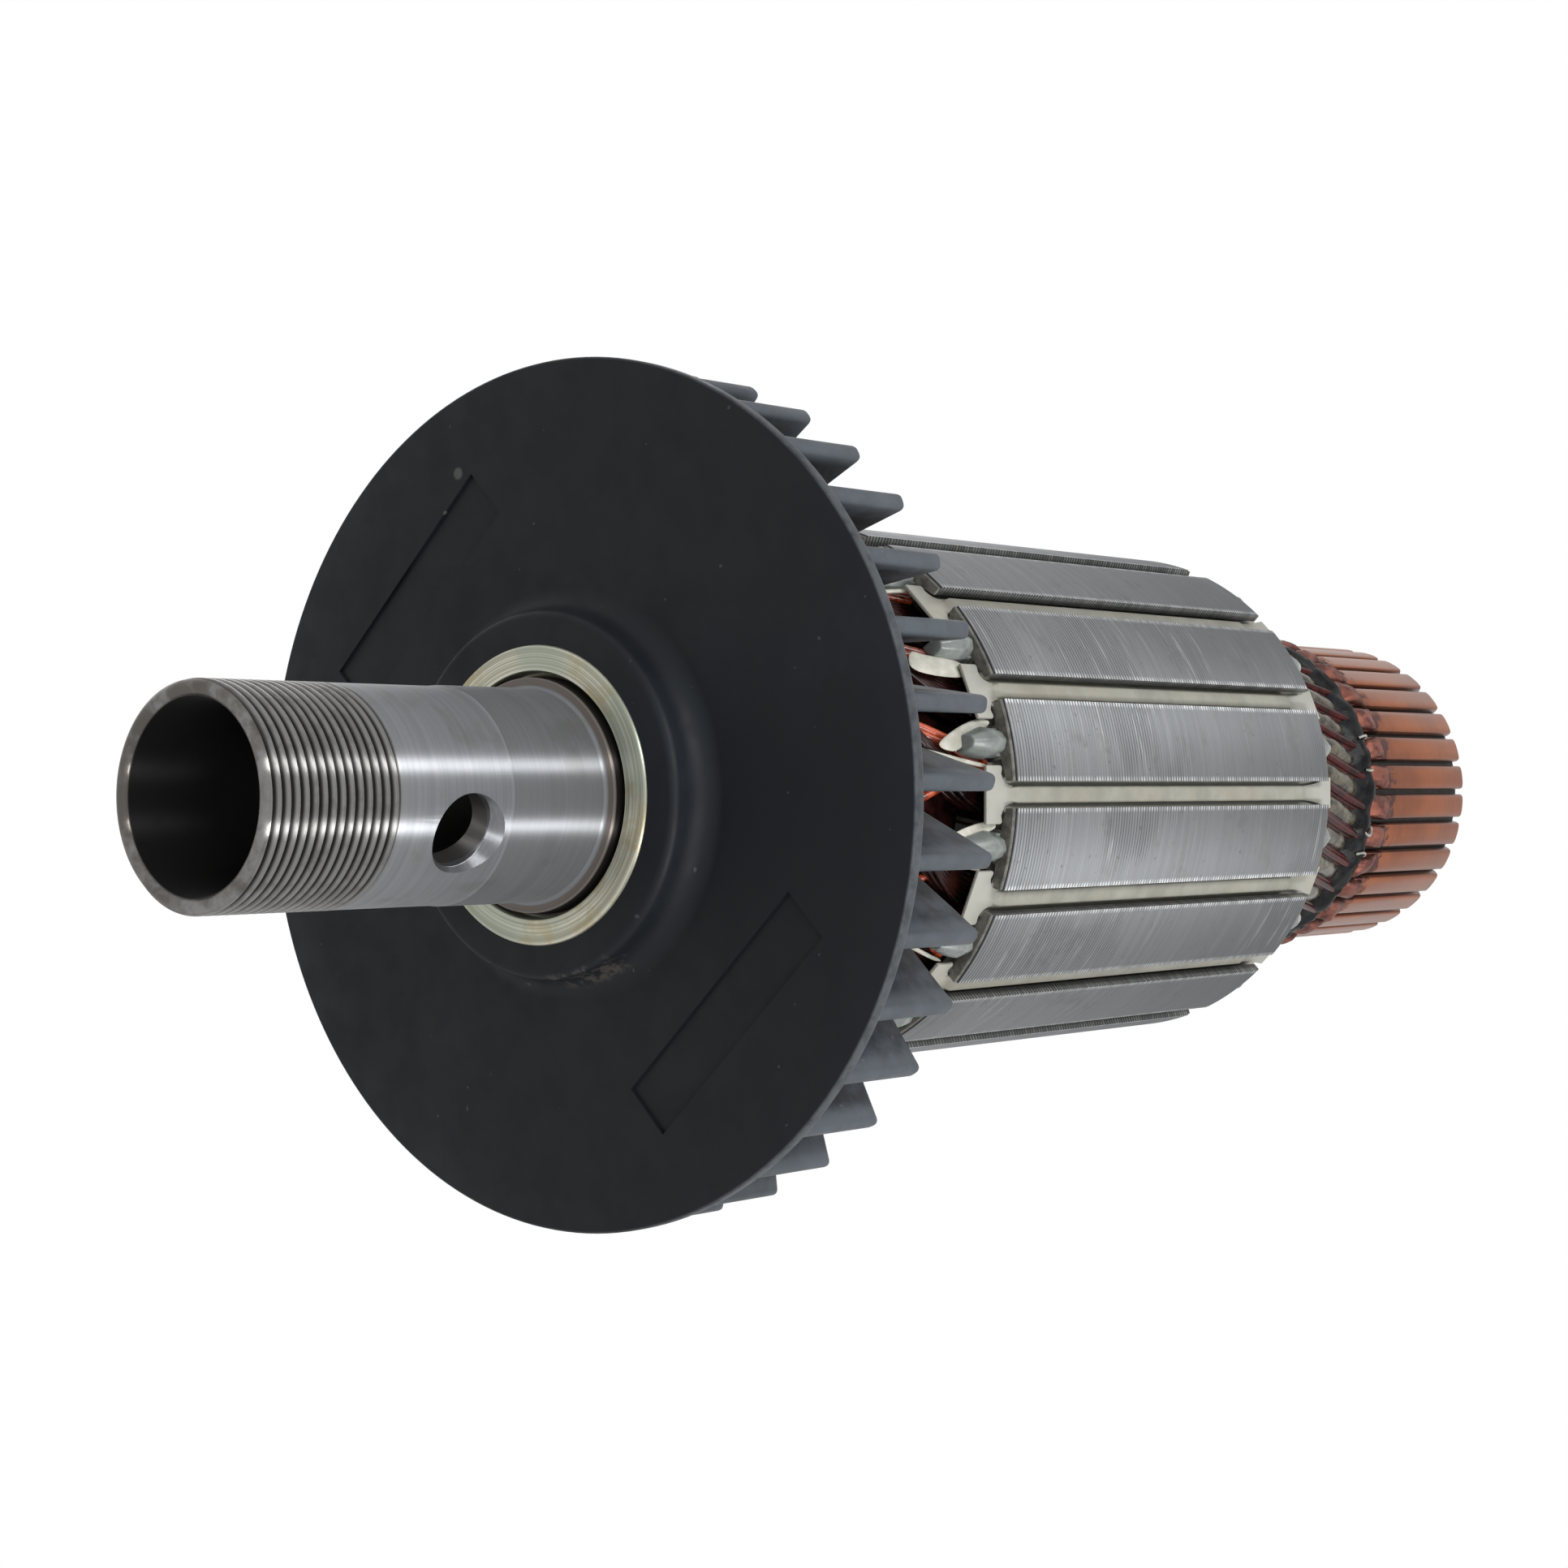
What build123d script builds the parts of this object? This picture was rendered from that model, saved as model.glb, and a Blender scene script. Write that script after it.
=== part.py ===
from build123d import *
import os
from math import atan, cos, degrees, radians, sin, tan

# Armature of a router motor. X runs along the shaft from the nose (-X) to the rear journal (+X).
# The origin is the middle of the front bearing seat. All sizes are millimetres.

# Spindle
seat_diameter = 20.0
seat_length = 12.0
land_diameter = 19.6
thread_diameter = 19.94
land_length = 14.0
thread_length = 14.2
nose_bevel = 0.4
mouth_diameter = 16.3
bore_diameter = 13.0
cone_length = 18.0
bore_length = 24.0
drill_point = 3.7
lock_hole_diameter = 7.0
lock_hole_from_seat = 4.95
lock_hole_angle = 199.3
lock_hole_bevel = 0.7
shoulder_diameter = 22.6
waist_diameter = 14.0
waist_setback = 2.0
journal_diameter = 10.0
journal_length = 10.0
journal_bevel = 0.5
journal_gap = 1.5

# Fan and its bush
bush_diameter = 28.2
bush_length = 13.5
bush_setback = 0.7
fan_diameter = 82.8
disc_thickness = 1.4
boss_diameter = 34.8
boss_height = 4.0
boss_recess = 0.3
boss_bevel = 0.5
boss_foot = 2.2
fan_hub_wall = 2.6
blade_count = 36
blade_phase = 8.5
blade_tip_diameter = 81.6
blade_depth = 11.7
blade_thickness = 1.7
blade_lean = 20.0
blade_chord = 14.5
blade_rear_drop = 1.2
blade_inner_run = 3.5
blade_root_bite = 0.4
strip_length = 26.6
strip_width = 5.6
strip_from_axis = 28.1
strip_depth = 0.4
strip_angle = 45.0

# Core
core_diameter = 56.0
lamination_thickness = 0.5
lamination_count = 125
core_from_bush = 25.8
slot_count = 16
slot_opening = 2.7
tooth_width = 3.4
tooth_tip = 1.1
tooth_shoulder = 0.6
slot_floor_from_axis = 16.0
end_plate_thickness = 0.5
end_plate_setback = 0.5

# Insulation
sleeve_wall = 1.6
sleeve_overhang = 20.0
liner_clearance = 0.05
liner_thickness = 0.35
wedge_thickness = 1.2
wedge_crown_width = 2.0
wedge_crown_sink = 0.6
wedge_front_overhang = 4.0
wedge_rear_overhang = 2.8
insulator_thickness = 0.7
insulator_ring_diameter = 30.0
spoke_width = 2.8
finger_front_length = 6.0
finger_rear_length = 2.6
finger_thickness = 3.4
finger_setback = 0.5
finger_bevel = 1.0

# Winding
fill_clearance = 0.05
front_turns_length = 15.5
front_turns_diameter = 46.0
front_turns_bevel = 5.0
rear_turns_length = 10.0
rear_turns_diameter = 45.0
rear_cone_diameter = 33.0
coil_groove = 1.6
coil_groove_depth = 2.2
lead_diameter = 1.7
lead_sides = 6
lead_start_diameter = 40.4
lead_clearance = 0.05
lead_skew_angle = 21.0
resin_length = 5.0
resin_thickness = 1.1

# Commutator
lead_length = 24.8
bar_count = 32
commutator_diameter = 38.2
commutator_length = 28.0
bar_depth = 2.5
bar_gap = 0.75
bar_end_bevel = 0.5
hook_diameter = 41.2
hook_length = 6.8
hook_width = 2.5
hook_front_bevel = 1.0
hook_setback = 1.0
hub_lip_length = 1.2
hub_lip_diameter = 27.0

# Stations along the shaft
seat_front = -seat_length / 2
shoulder_x = seat_length / 2
thread_rear = seat_front - land_length
nose_x = thread_rear - thread_length
lock_hole_x = seat_front - lock_hole_from_seat
bush_front = shoulder_x + bush_setback
bush_rear = bush_front + bush_length
boss_front = bush_front + boss_recess
disc_front = boss_front + boss_height
disc_rear = disc_front + disc_thickness
blade_rear = disc_rear + blade_depth
core_front = bush_rear + core_from_bush
core_length = lamination_count * lamination_thickness
core_rear = core_front + core_length
front_stack = core_front - end_plate_thickness - insulator_thickness
rear_stack = core_rear + end_plate_thickness + insulator_thickness
sleeve_front = core_front - sleeve_overhang
hook_front = core_rear + lead_length
commutator_rear = hook_front + commutator_length
hub_rear = commutator_rear + hub_lip_length
shaft_rear = hub_rear + journal_gap + journal_length

# Radii that several pieces share
bush_bore_radius = shoulder_diameter / 2
bush_radius = bush_diameter / 2
core_radius = core_diameter / 2
waist_radius = waist_diameter / 2
sleeve_radius = waist_radius + sleeve_wall
resin_radius = rear_cone_diameter / 2 + resin_thickness
lead_end_radius = resin_radius + lead_diameter / 2 + lead_clearance
commutator_radius = commutator_diameter / 2
bar_root_radius = commutator_radius - bar_depth

# Tooth tips: the inner edge of the opening, the widest place of the slot and the foot of the wedge
tip_inner = core_radius - tooth_tip
slot_top = tip_inner - tooth_shoulder
wedge_bottom = slot_top - wedge_thickness

# Angles that repeat
slot_pitch = 360 / slot_count
half_slot = radians(slot_pitch / 2)
bar_pitch = 360 / bar_count
half_bar = radians(bar_pitch / 2)


def slot_half_width(from_axis, margin):
    """Half width of the slot at a distance from the axis, with its wall moved in by a margin"""
    return (from_axis * sin(half_slot) - tooth_width / 2 - margin) / cos(half_slot)


def slot_face(margin, top):
    """Closed slot section below a given distance from the axis, with its walls moved in by a margin"""
    floor = slot_floor_from_axis + margin
    low = slot_half_width(floor, margin)
    high = slot_half_width(top, margin)
    with BuildSketch() as face:
        with BuildLine():
            Polyline((floor, -low), (floor, low), (top, high), (top, -high), close=True)
        make_face()
    return face.sketch


def open_slot():
    """The whole slot in a sheet, from its floor out through the opening"""
    low = slot_half_width(slot_floor_from_axis, 0)
    high = slot_half_width(slot_top, 0)
    outside = core_radius + tooth_tip
    with BuildSketch() as face:
        with BuildLine():
            Polyline(
                (slot_floor_from_axis, low),
                (slot_top, high),
                (tip_inner, slot_opening / 2),
                (outside, slot_opening / 2),
                (outside, -slot_opening / 2),
                (tip_inner, -slot_opening / 2),
                (slot_top, -high),
                (slot_floor_from_axis, -low),
                close=True,
            )
        make_face()
    return face.sketch


def rotated_copies(shape, count, start=0.0):
    """Copies of a shape all round the shaft"""
    return [shape.rotate(Axis.X, start + k * 360 / count) for k in range(count)]


def finish(builder, label):
    """Name a piece and write it out"""
    builder.part.label = label
    export_step(builder.part, f"parts/{label}.step")
    print(label, round(builder.part.volume, 2))


os.makedirs("parts", exist_ok=True)

# Spindle shaft, hollow at the nose
with BuildPart() as spindle_shaft:
    with BuildSketch(Plane.XY):
        with BuildLine():
            Polyline(
                (nose_x, 0),
                (nose_x, thread_diameter / 2 - nose_bevel),
                (nose_x + nose_bevel, thread_diameter / 2),
                (thread_rear, thread_diameter / 2),
                (thread_rear, land_diameter / 2),
                (seat_front, land_diameter / 2),
                (seat_front, seat_diameter / 2),
                (shoulder_x, seat_diameter / 2),
                (shoulder_x, bush_bore_radius),
                (bush_rear + waist_setback, bush_bore_radius),
                (bush_rear + waist_setback, waist_radius),
                (hub_rear, waist_radius),
                (hub_rear, journal_diameter / 2),
                (shaft_rear - journal_bevel, journal_diameter / 2),
                (shaft_rear, journal_diameter / 2 - journal_bevel),
                (shaft_rear, 0),
                close=True,
            )
        make_face()
    revolve(axis=Axis.X)
    with BuildSketch(Plane.XY):
        with BuildLine():
            Polyline(
                (nose_x, 0),
                (nose_x, mouth_diameter / 2),
                (nose_x + cone_length, bore_diameter / 2),
                (nose_x + cone_length + bore_length, bore_diameter / 2),
                (nose_x + cone_length + bore_length + drill_point, 0),
                close=True,
            )
        make_face()
    revolve(axis=Axis.X, mode=Mode.SUBTRACT)
    lock_way = Vector(0, cos(radians(lock_hole_angle)), sin(radians(lock_hole_angle)))
    lock_across = lock_way.cross(Vector(1, 0, 0))
    with BuildSketch(Plane(origin=(lock_hole_x, 0, 0), x_dir=lock_way, z_dir=lock_across)):
        with BuildLine():
            Polyline(
                (0, 0),
                (0, lock_hole_diameter / 2),
                (land_diameter / 2 - 2 * lock_hole_bevel, lock_hole_diameter / 2),
                (land_diameter / 2 + lock_hole_bevel, lock_hole_diameter / 2 + 2 * lock_hole_bevel),
                (land_diameter / 2 + lock_hole_bevel, 0),
                close=True,
            )
        make_face()
    revolve(axis=Axis((lock_hole_x, 0, 0), lock_way), mode=Mode.SUBTRACT)
finish(spindle_shaft, "spindle_shaft")

# Plastic tube that insulates the core from the shaft
with BuildPart() as shaft_insulation:
    with BuildSketch(Plane.YZ.offset(sleeve_front)):
        Circle(sleeve_radius)
        Circle(waist_radius, mode=Mode.SUBTRACT)
    extrude(amount=hook_front - sleeve_front)
finish(shaft_insulation, "shaft_insulation")

# Metal bush in the fan's hub
with BuildPart() as fan_bush:
    with BuildSketch(Plane.YZ.offset(bush_front)):
        RegularPolygon(bush_radius, blade_count)
        Circle(bush_bore_radius, mode=Mode.SUBTRACT)
    extrude(amount=bush_length)
finish(fan_bush, "fan_bush")

# One blade: a leaning plate, drawn in its own plane
lean_way = Vector(0, sin(radians(blade_lean)), -cos(radians(blade_lean)))
blade_plane = Plane(origin=(0, blade_tip_diameter / 2, 0), x_dir=(1, 0, 0), z_dir=lean_way)
with BuildPart() as fan_blade:
    with BuildSketch(blade_plane):
        with BuildLine():
            Polyline(
                (disc_rear - blade_root_bite, 0),
                (blade_rear, 0),
                (blade_rear - blade_rear_drop, blade_chord - blade_inner_run),
                (disc_rear, blade_chord),
                (disc_rear - blade_root_bite, blade_chord),
                close=True,
            )
        make_face()
    extrude(amount=blade_thickness / 2, both=True)

# Fan: disc with its boss, hub, two shallow strips and the ring of blades
with BuildPart() as cooling_fan:
    with BuildSketch(Plane.XY):
        with BuildLine():
            Polyline(
                (boss_front, 0),
                (boss_front, boss_diameter / 2 - boss_bevel),
                (boss_front + boss_bevel, boss_diameter / 2),
                (disc_front - boss_foot, boss_diameter / 2),
                (disc_front, boss_diameter / 2 + boss_foot),
                (disc_front, fan_diameter / 2),
                (disc_rear, fan_diameter / 2),
                (disc_rear, bush_radius + fan_hub_wall),
                (bush_rear, bush_radius + fan_hub_wall),
                (bush_rear, 0),
                close=True,
            )
        make_face()
    revolve(axis=Axis.X)
    with BuildSketch(Plane.YZ.offset(boss_front)):
        RegularPolygon(bush_radius, blade_count)
    extrude(amount=bush_rear - boss_front, mode=Mode.SUBTRACT)
    add(rotated_copies(fan_blade.part, blade_count, blade_phase))
    with BuildSketch(Plane.YZ.offset(disc_front)):
        with PolarLocations(strip_from_axis, 2, start_angle=strip_angle):
            Rectangle(strip_width, strip_length)
    extrude(amount=strip_depth, mode=Mode.SUBTRACT)
finish(cooling_fan, "cooling_fan")

# Core: the stack of slotted sheets
with BuildPart() as lamination_core:
    with BuildSketch(Plane.YZ.offset(core_front)):
        Circle(core_radius)
        Circle(sleeve_radius, mode=Mode.SUBTRACT)
        with PolarLocations(0, slot_count):
            add(open_slot(), mode=Mode.SUBTRACT)
    extrude(amount=core_length)
finish(lamination_core, "lamination_core")


def end_plate(station, label):
    """Fibre plate on one end of the stack, open above every slot"""
    with BuildPart() as plate:
        with BuildSketch(Plane.YZ.offset(station)):
            RegularPolygon(core_radius - end_plate_setback, slot_count)
            RegularPolygon(sleeve_radius + fill_clearance, slot_count, major_radius=False, mode=Mode.SUBTRACT)
            with PolarLocations(0, slot_count):
                add(open_slot(), mode=Mode.SUBTRACT)
        extrude(amount=end_plate_thickness)
    finish(plate, label)


end_plate(core_front - end_plate_thickness, "front_end_plate")
end_plate(core_rear, "rear_end_plate")


def end_insulator(station, outward, finger_length, label):
    """Spider of one spoke on each tooth, each with a bevelled finger that points away from the core"""
    finger_radius = core_radius - end_plate_setback - finger_setback
    base = station if outward > 0 else station - insulator_thickness
    tooth_angle = slot_pitch / 2
    with BuildPart() as finger:
        with BuildSketch(Plane.YZ.offset(base)):
            with Locations(((finger_radius + sleeve_radius) / 2, 0)):
                Rectangle(finger_radius - sleeve_radius, spoke_width)
        extrude(amount=insulator_thickness)
        with BuildSketch(Plane.YZ.offset(station)):
            with Locations((finger_radius - finger_thickness / 2, 0)):
                Rectangle(finger_thickness, spoke_width)
        extrude(amount=outward * (insulator_thickness + finger_length))
        far_face = finger.faces().sort_by(Axis.X)[-1 if outward > 0 else 0]
        chamfer(far_face.edges().filter_by(Axis.Y), finger_bevel)
    with BuildPart() as spider:
        with BuildSketch(Plane.YZ.offset(base)):
            RegularPolygon(insulator_ring_diameter / 2, slot_count)
        extrude(amount=insulator_thickness)
        add(rotated_copies(finger.part, slot_count, tooth_angle))
        with BuildSketch(Plane.YZ.offset(base)):
            RegularPolygon(sleeve_radius + fill_clearance, slot_count, major_radius=False)
        extrude(amount=insulator_thickness, mode=Mode.SUBTRACT)
    finish(spider, label)


end_insulator(core_front - end_plate_thickness, -1, finger_front_length, "front_end_insulator")
end_insulator(core_rear + end_plate_thickness, 1, finger_rear_length, "rear_end_insulator")

# Slot liner with its wedge, once for each slot
with BuildPart() as slot_lining:
    with BuildSketch(Plane.YZ.offset(front_stack)):
        add(slot_face(liner_clearance, wedge_bottom))
        add(slot_face(liner_clearance + liner_thickness, wedge_bottom), mode=Mode.SUBTRACT)
    extrude(amount=rear_stack - front_stack)
    with BuildSketch(Plane.YZ.offset(core_front - wedge_front_overhang)):
        with BuildLine():
            wedge_low = slot_half_width(wedge_bottom, liner_clearance)
            wedge_high = slot_half_width(slot_top - liner_clearance, liner_clearance)
            crown_foot = tip_inner - 2 * liner_clearance
            crown_top = core_radius - wedge_crown_sink
            Polyline(
                (wedge_bottom, wedge_low),
                (slot_top - liner_clearance, wedge_high),
                (crown_foot, wedge_crown_width / 2),
                (crown_top, wedge_crown_width / 2),
                (crown_top, -wedge_crown_width / 2),
                (crown_foot, -wedge_crown_width / 2),
                (slot_top - liner_clearance, -wedge_high),
                (wedge_bottom, -wedge_low),
                close=True,
            )
        make_face()
    extrude(amount=core_length + wedge_front_overhang + wedge_rear_overhang)

for slot, lining in enumerate(rotated_copies(slot_lining.part, slot_count)):
    with BuildPart() as slot_insulation:
        add(lining)
    finish(slot_insulation, f"slot_insulation_{slot + 1:02d}")

# One lead, from the rear end turns to a hook
lead_start_angle = half_bar - radians(lead_skew_angle)
lead_start = Vector(
    rear_stack + rear_turns_length / 2,
    lead_start_diameter / 2 * cos(lead_start_angle),
    lead_start_diameter / 2 * sin(lead_start_angle),
)
lead_end = Vector(
    hook_front + lead_diameter,
    lead_end_radius * cos(half_bar),
    lead_end_radius * sin(half_bar),
)
with BuildPart() as winding_lead:
    with BuildSketch(Plane(origin=lead_start, z_dir=lead_end - lead_start)):
        RegularPolygon(lead_diameter / 2, lead_sides)
    extrude(amount=(lead_end - lead_start).length)
    split(bisect_by=Plane.YZ.offset(hook_front), keep=Keep.BOTTOM)

# The rear end turns fall in a cone, measured on its flat sides, to the neck under the resin band
rear_cone_length = hook_front - resin_length - rear_stack - rear_turns_length / 2
rear_cone_fall = (rear_turns_diameter - rear_cone_diameter) / 2 * cos(half_slot)

# Winding: slot fills, the end turns at both ends and the leads to the hooks
with BuildPart() as armature_winding:
    with BuildSketch(Plane.YZ.offset(front_stack)):
        RegularPolygon(front_turns_diameter / 2, slot_count)
    extrude(amount=-front_turns_length)
    front_face = armature_winding.faces().sort_by(Axis.X)[0]
    chamfer(front_face.edges(), front_turns_bevel)
    with BuildSketch(Plane.YZ.offset(rear_stack)):
        RegularPolygon(rear_turns_diameter / 2, slot_count)
    extrude(amount=rear_turns_length / 2)
    with BuildSketch(Plane.YZ.offset(rear_stack + rear_turns_length / 2)):
        RegularPolygon(rear_turns_diameter / 2, slot_count)
    extrude(amount=rear_cone_length, taper=degrees(atan(rear_cone_fall / rear_cone_length)))
    with BuildSketch(Plane.YZ.offset(hook_front - resin_length)):
        RegularPolygon(rear_cone_diameter / 2, slot_count)
    extrude(amount=resin_length)
    with BuildSketch(Plane.YZ.offset(front_stack - front_turns_length)):
        with PolarLocations(front_turns_diameter / 2, slot_count, start_angle=slot_pitch / 2):
            Rectangle(2 * coil_groove_depth, coil_groove)
    extrude(amount=front_turns_length, mode=Mode.SUBTRACT)
    fill_margin = liner_clearance + liner_thickness + fill_clearance
    with BuildSketch(Plane.YZ.offset(front_stack)):
        with PolarLocations(0, slot_count):
            add(slot_face(fill_margin, wedge_bottom - fill_clearance))
    extrude(amount=rear_stack - front_stack)
    with BuildSketch(Plane.YZ.offset(front_stack - front_turns_length)):
        RegularPolygon(sleeve_radius + fill_clearance, slot_count, major_radius=False)
    extrude(amount=hook_front - front_stack + front_turns_length, mode=Mode.SUBTRACT)
    add(rotated_copies(winding_lead.part, bar_count))
finish(armature_winding, "armature_winding")

# Resin band over the leads, next to the hooks
with BuildPart() as lead_resin:
    with BuildSketch(Plane.YZ.offset(hook_front - resin_length)):
        RegularPolygon(resin_radius, bar_count)
        RegularPolygon(rear_cone_diameter / 2, slot_count, mode=Mode.SUBTRACT)
    extrude(amount=resin_length)
finish(lead_resin, "lead_resin")

# Moulded body of the commutator
with BuildPart() as commutator_hub:
    with BuildSketch(Plane.YZ.offset(hook_front)):
        RegularPolygon(bar_root_radius, bar_count, major_radius=False)
    extrude(amount=commutator_length)
    with BuildSketch(Plane.YZ.offset(commutator_rear)):
        RegularPolygon(hub_lip_diameter / 2, slot_count)
    extrude(amount=hub_lip_length)
    with BuildSketch(Plane.YZ.offset(hook_front)):
        Circle(waist_radius)
    extrude(amount=commutator_length + hub_lip_length, mode=Mode.SUBTRACT)
finish(commutator_hub, "commutator_hub")

# One copper bar with its folded hook
root_across = bar_root_radius * tan(half_bar) - bar_gap / 2
face_across = commutator_radius * tan(half_bar) - bar_gap / 2
with BuildPart() as copper_bar:
    with BuildSketch(Plane.YZ.offset(hook_front + hook_setback)):
        with BuildLine():
            Polyline(
                (bar_root_radius, -root_across),
                (bar_root_radius, root_across),
                (commutator_radius, face_across),
                (commutator_radius, -face_across),
                close=True,
            )
        make_face()
    extrude(amount=commutator_length - hook_setback)
    rear_face = copper_bar.faces().sort_by(Axis.X)[-1]
    chamfer(rear_face.edges().sort_by(Axis.Y)[-1], bar_end_bevel)
    with BuildSketch(Plane.XY):
        with BuildLine():
            Polyline(
                (hook_front, bar_root_radius + bar_depth / 3),
                (hook_front, hook_diameter / 2 - hook_front_bevel),
                (hook_front + hook_front_bevel, hook_diameter / 2),
                (hook_front + hook_length / 2, hook_diameter / 2),
                (hook_front + hook_length, commutator_radius),
                (hook_front + hook_length, commutator_radius - bar_depth / 2),
                (hook_front + hook_setback, bar_root_radius + bar_depth / 3),
                close=True,
            )
        make_face()
    extrude(amount=hook_width / 2, both=True)

for bar, copper in enumerate(rotated_copies(copper_bar.part, bar_count, bar_pitch / 2)):
    with BuildPart() as commutator_bar:
        add(copper)
    finish(commutator_bar, f"commutator_bar_{bar + 1:02d}")
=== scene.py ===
# %% [markdown]
# An armature is the part of a motor that turns. This one is seen from its threaded nose: a steel
# spindle, a black fan, a slotted core full of wire and a copper commutator on one axis. The packed
# CAD model is loaded first, because every piece made here goes over it in the same place.

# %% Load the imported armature
from math import cos, pi, radians, sin, tau

import bmesh
import bpy
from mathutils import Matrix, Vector


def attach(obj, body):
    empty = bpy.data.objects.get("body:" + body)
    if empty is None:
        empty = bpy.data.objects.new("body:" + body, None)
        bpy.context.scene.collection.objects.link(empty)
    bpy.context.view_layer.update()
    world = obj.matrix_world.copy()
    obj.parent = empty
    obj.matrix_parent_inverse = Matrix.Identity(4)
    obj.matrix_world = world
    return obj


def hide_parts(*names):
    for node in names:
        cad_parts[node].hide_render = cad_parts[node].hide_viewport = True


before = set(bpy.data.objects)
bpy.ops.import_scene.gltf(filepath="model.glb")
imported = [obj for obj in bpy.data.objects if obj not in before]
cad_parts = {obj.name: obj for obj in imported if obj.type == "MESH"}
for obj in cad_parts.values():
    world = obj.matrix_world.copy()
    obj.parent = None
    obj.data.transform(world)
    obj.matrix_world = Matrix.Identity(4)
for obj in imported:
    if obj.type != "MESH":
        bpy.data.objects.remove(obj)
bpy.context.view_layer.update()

# %% [markdown]
# A few small helpers keep the later cells short. They do what one does by hand in the window: select
# one piece, put its place into its mesh, pick corners by their place, and apply a modifier.

# %% Bench helpers
MM = 0.001


def take(piece):
    """Make a piece the only selected one"""
    bpy.ops.object.select_all(action="DESELECT")
    piece.select_set(True)
    bpy.context.view_layer.objects.active = piece


def edit(piece, select="SELECT"):
    """Go into a piece's edit mode with all of it selected or none"""
    take(piece)
    bpy.ops.object.mode_set(mode="EDIT")
    bpy.ops.mesh.select_mode(type="VERT")
    bpy.ops.mesh.select_all(action=select)


def done():
    """Leave edit mode"""
    bpy.ops.object.mode_set(mode="OBJECT")


def settle(name):
    """Name the newest piece and put its place, turn and scale into its mesh"""
    piece = bpy.context.object
    piece.name = name
    take(piece)
    bpy.ops.object.transform_apply(location=True, rotation=True, scale=True)
    return piece


def shape_with(piece, kind, **settings):
    """Add a modifier to a piece, set it and apply it"""
    take(piece)
    modifier = piece.modifiers.new(kind.title(), kind)
    for key, value in settings.items():
        setattr(modifier, key, value)
    bpy.ops.object.modifier_apply(modifier=modifier.name)


def block(name, middle, size, turn=0.0):
    """A cube added at its place and size (mm), turned about the shaft's direction by some degrees"""
    bpy.ops.object.select_all(action="DESELECT")
    bpy.ops.mesh.primitive_cube_add(size=MM, location=Vector(middle) * MM, scale=size)
    bpy.context.object.rotation_euler = (radians(turn), 0, 0)
    return settle(name)


def pick(piece, rule):
    """In edit mode, select the corners whose place (mm) passes a rule"""
    bpy.ops.mesh.select_mode(type="VERT")
    bpy.ops.mesh.select_all(action="DESELECT")
    mesh = bmesh.from_edit_mesh(piece.data)
    for corner in mesh.verts:
        corner.select_set(rule(corner.co / MM))
    mesh.select_flush(True)
    bmesh.update_edit_mesh(piece.data)


def pull(piece, rule, *move):
    """Move the corners whose place passes a rule by so many mm"""
    edit(piece)
    pick(piece, rule)
    bpy.ops.transform.translate(value=Vector(move) * MM)
    done()


def pick_rims(piece, low, high):
    """In edit mode, select the open rims between two stations (mm)"""
    bpy.ops.mesh.select_mode(type="EDGE")
    bpy.ops.mesh.select_all(action="DESELECT")
    mesh = bmesh.from_edit_mesh(piece.data)
    for edge in mesh.edges:
        inside = all(low * MM < corner.co.x < high * MM for corner in edge.verts)
        edge.select_set(edge.is_boundary and inside)
    bmesh.update_edit_mesh(piece.data)


def round_edges(piece, width, segments, angle):
    """Bevel the edges that are sharper than an angle, by a width in mm"""
    shape_with(
        piece, "BEVEL", width=width * MM, segments=segments, limit_method="ANGLE", angle_limit=radians(angle)
    )


def weld(piece):
    """Merge doubled corners and turn all faces outwards"""
    edit(piece)
    bpy.ops.mesh.remove_doubles(threshold=0.002 * MM)
    bpy.ops.mesh.normals_make_consistent(inside=False)
    done()


def smooth(piece, angle=35):
    """Shade a piece smooth, with its sharp edges kept"""
    take(piece)
    bpy.ops.object.shade_smooth_by_angle(angle=radians(angle))


def copy_of(piece, name, turn=0.0):
    """A copy with its own mesh, turned about the shaft by some degrees"""
    take(piece)
    bpy.ops.object.duplicate()
    bpy.context.object.rotation_euler = (radians(turn), 0, 0)
    return settle(name)


def join(pieces, name):
    """Join pieces to one"""
    take(pieces[0])
    for piece in pieces:
        piece.select_set(True)
    bpy.ops.object.join()
    pieces[0].name = name
    return pieces[0]


def ring_of(piece, count, name, start=0.0):
    """Copies all round the shaft, joined to one piece; the pattern itself is used up"""
    made = [copy_of(piece, f"{name}_{k}", start + k * 360 / count) for k in range(count)]
    bpy.data.objects.remove(piece)
    return join(made, name)


def cut_with(piece, tool):
    """Take a tool's shape out of a piece; the tool is used up"""
    shape_with(piece, "BOOLEAN", object=tool, operation="DIFFERENCE", solver="EXACT")
    bpy.data.objects.remove(tool)


def chain(name, points):
    """A line of edges: a plane is merged to one corner, which is extruded from point to point (mm)"""
    bpy.ops.object.select_all(action="DESELECT")
    bpy.ops.mesh.primitive_plane_add(size=MM, location=Vector(points[0]) * MM)
    piece = settle(name)
    edit(piece)
    bpy.ops.mesh.merge(type="CENTER")
    for here, there in zip(points, points[1:]):
        step = (Vector(there) - Vector(here)) * MM
        bpy.ops.mesh.extrude_vertices_move(TRANSFORM_OT_translate={"value": step})
    done()
    return piece


def turned(name, stations, around=128):
    """Turn a piece on the lathe: a line through stations (x, radius) is spun about the shaft"""
    piece = chain(name, [(x, 0, radius) for x, radius in stations])
    edit(piece)
    bpy.ops.mesh.spin(steps=around, angle=tau, center=(0, 0, 0), axis=(1, 0, 0))
    done()
    weld(piece)
    return piece


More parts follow.
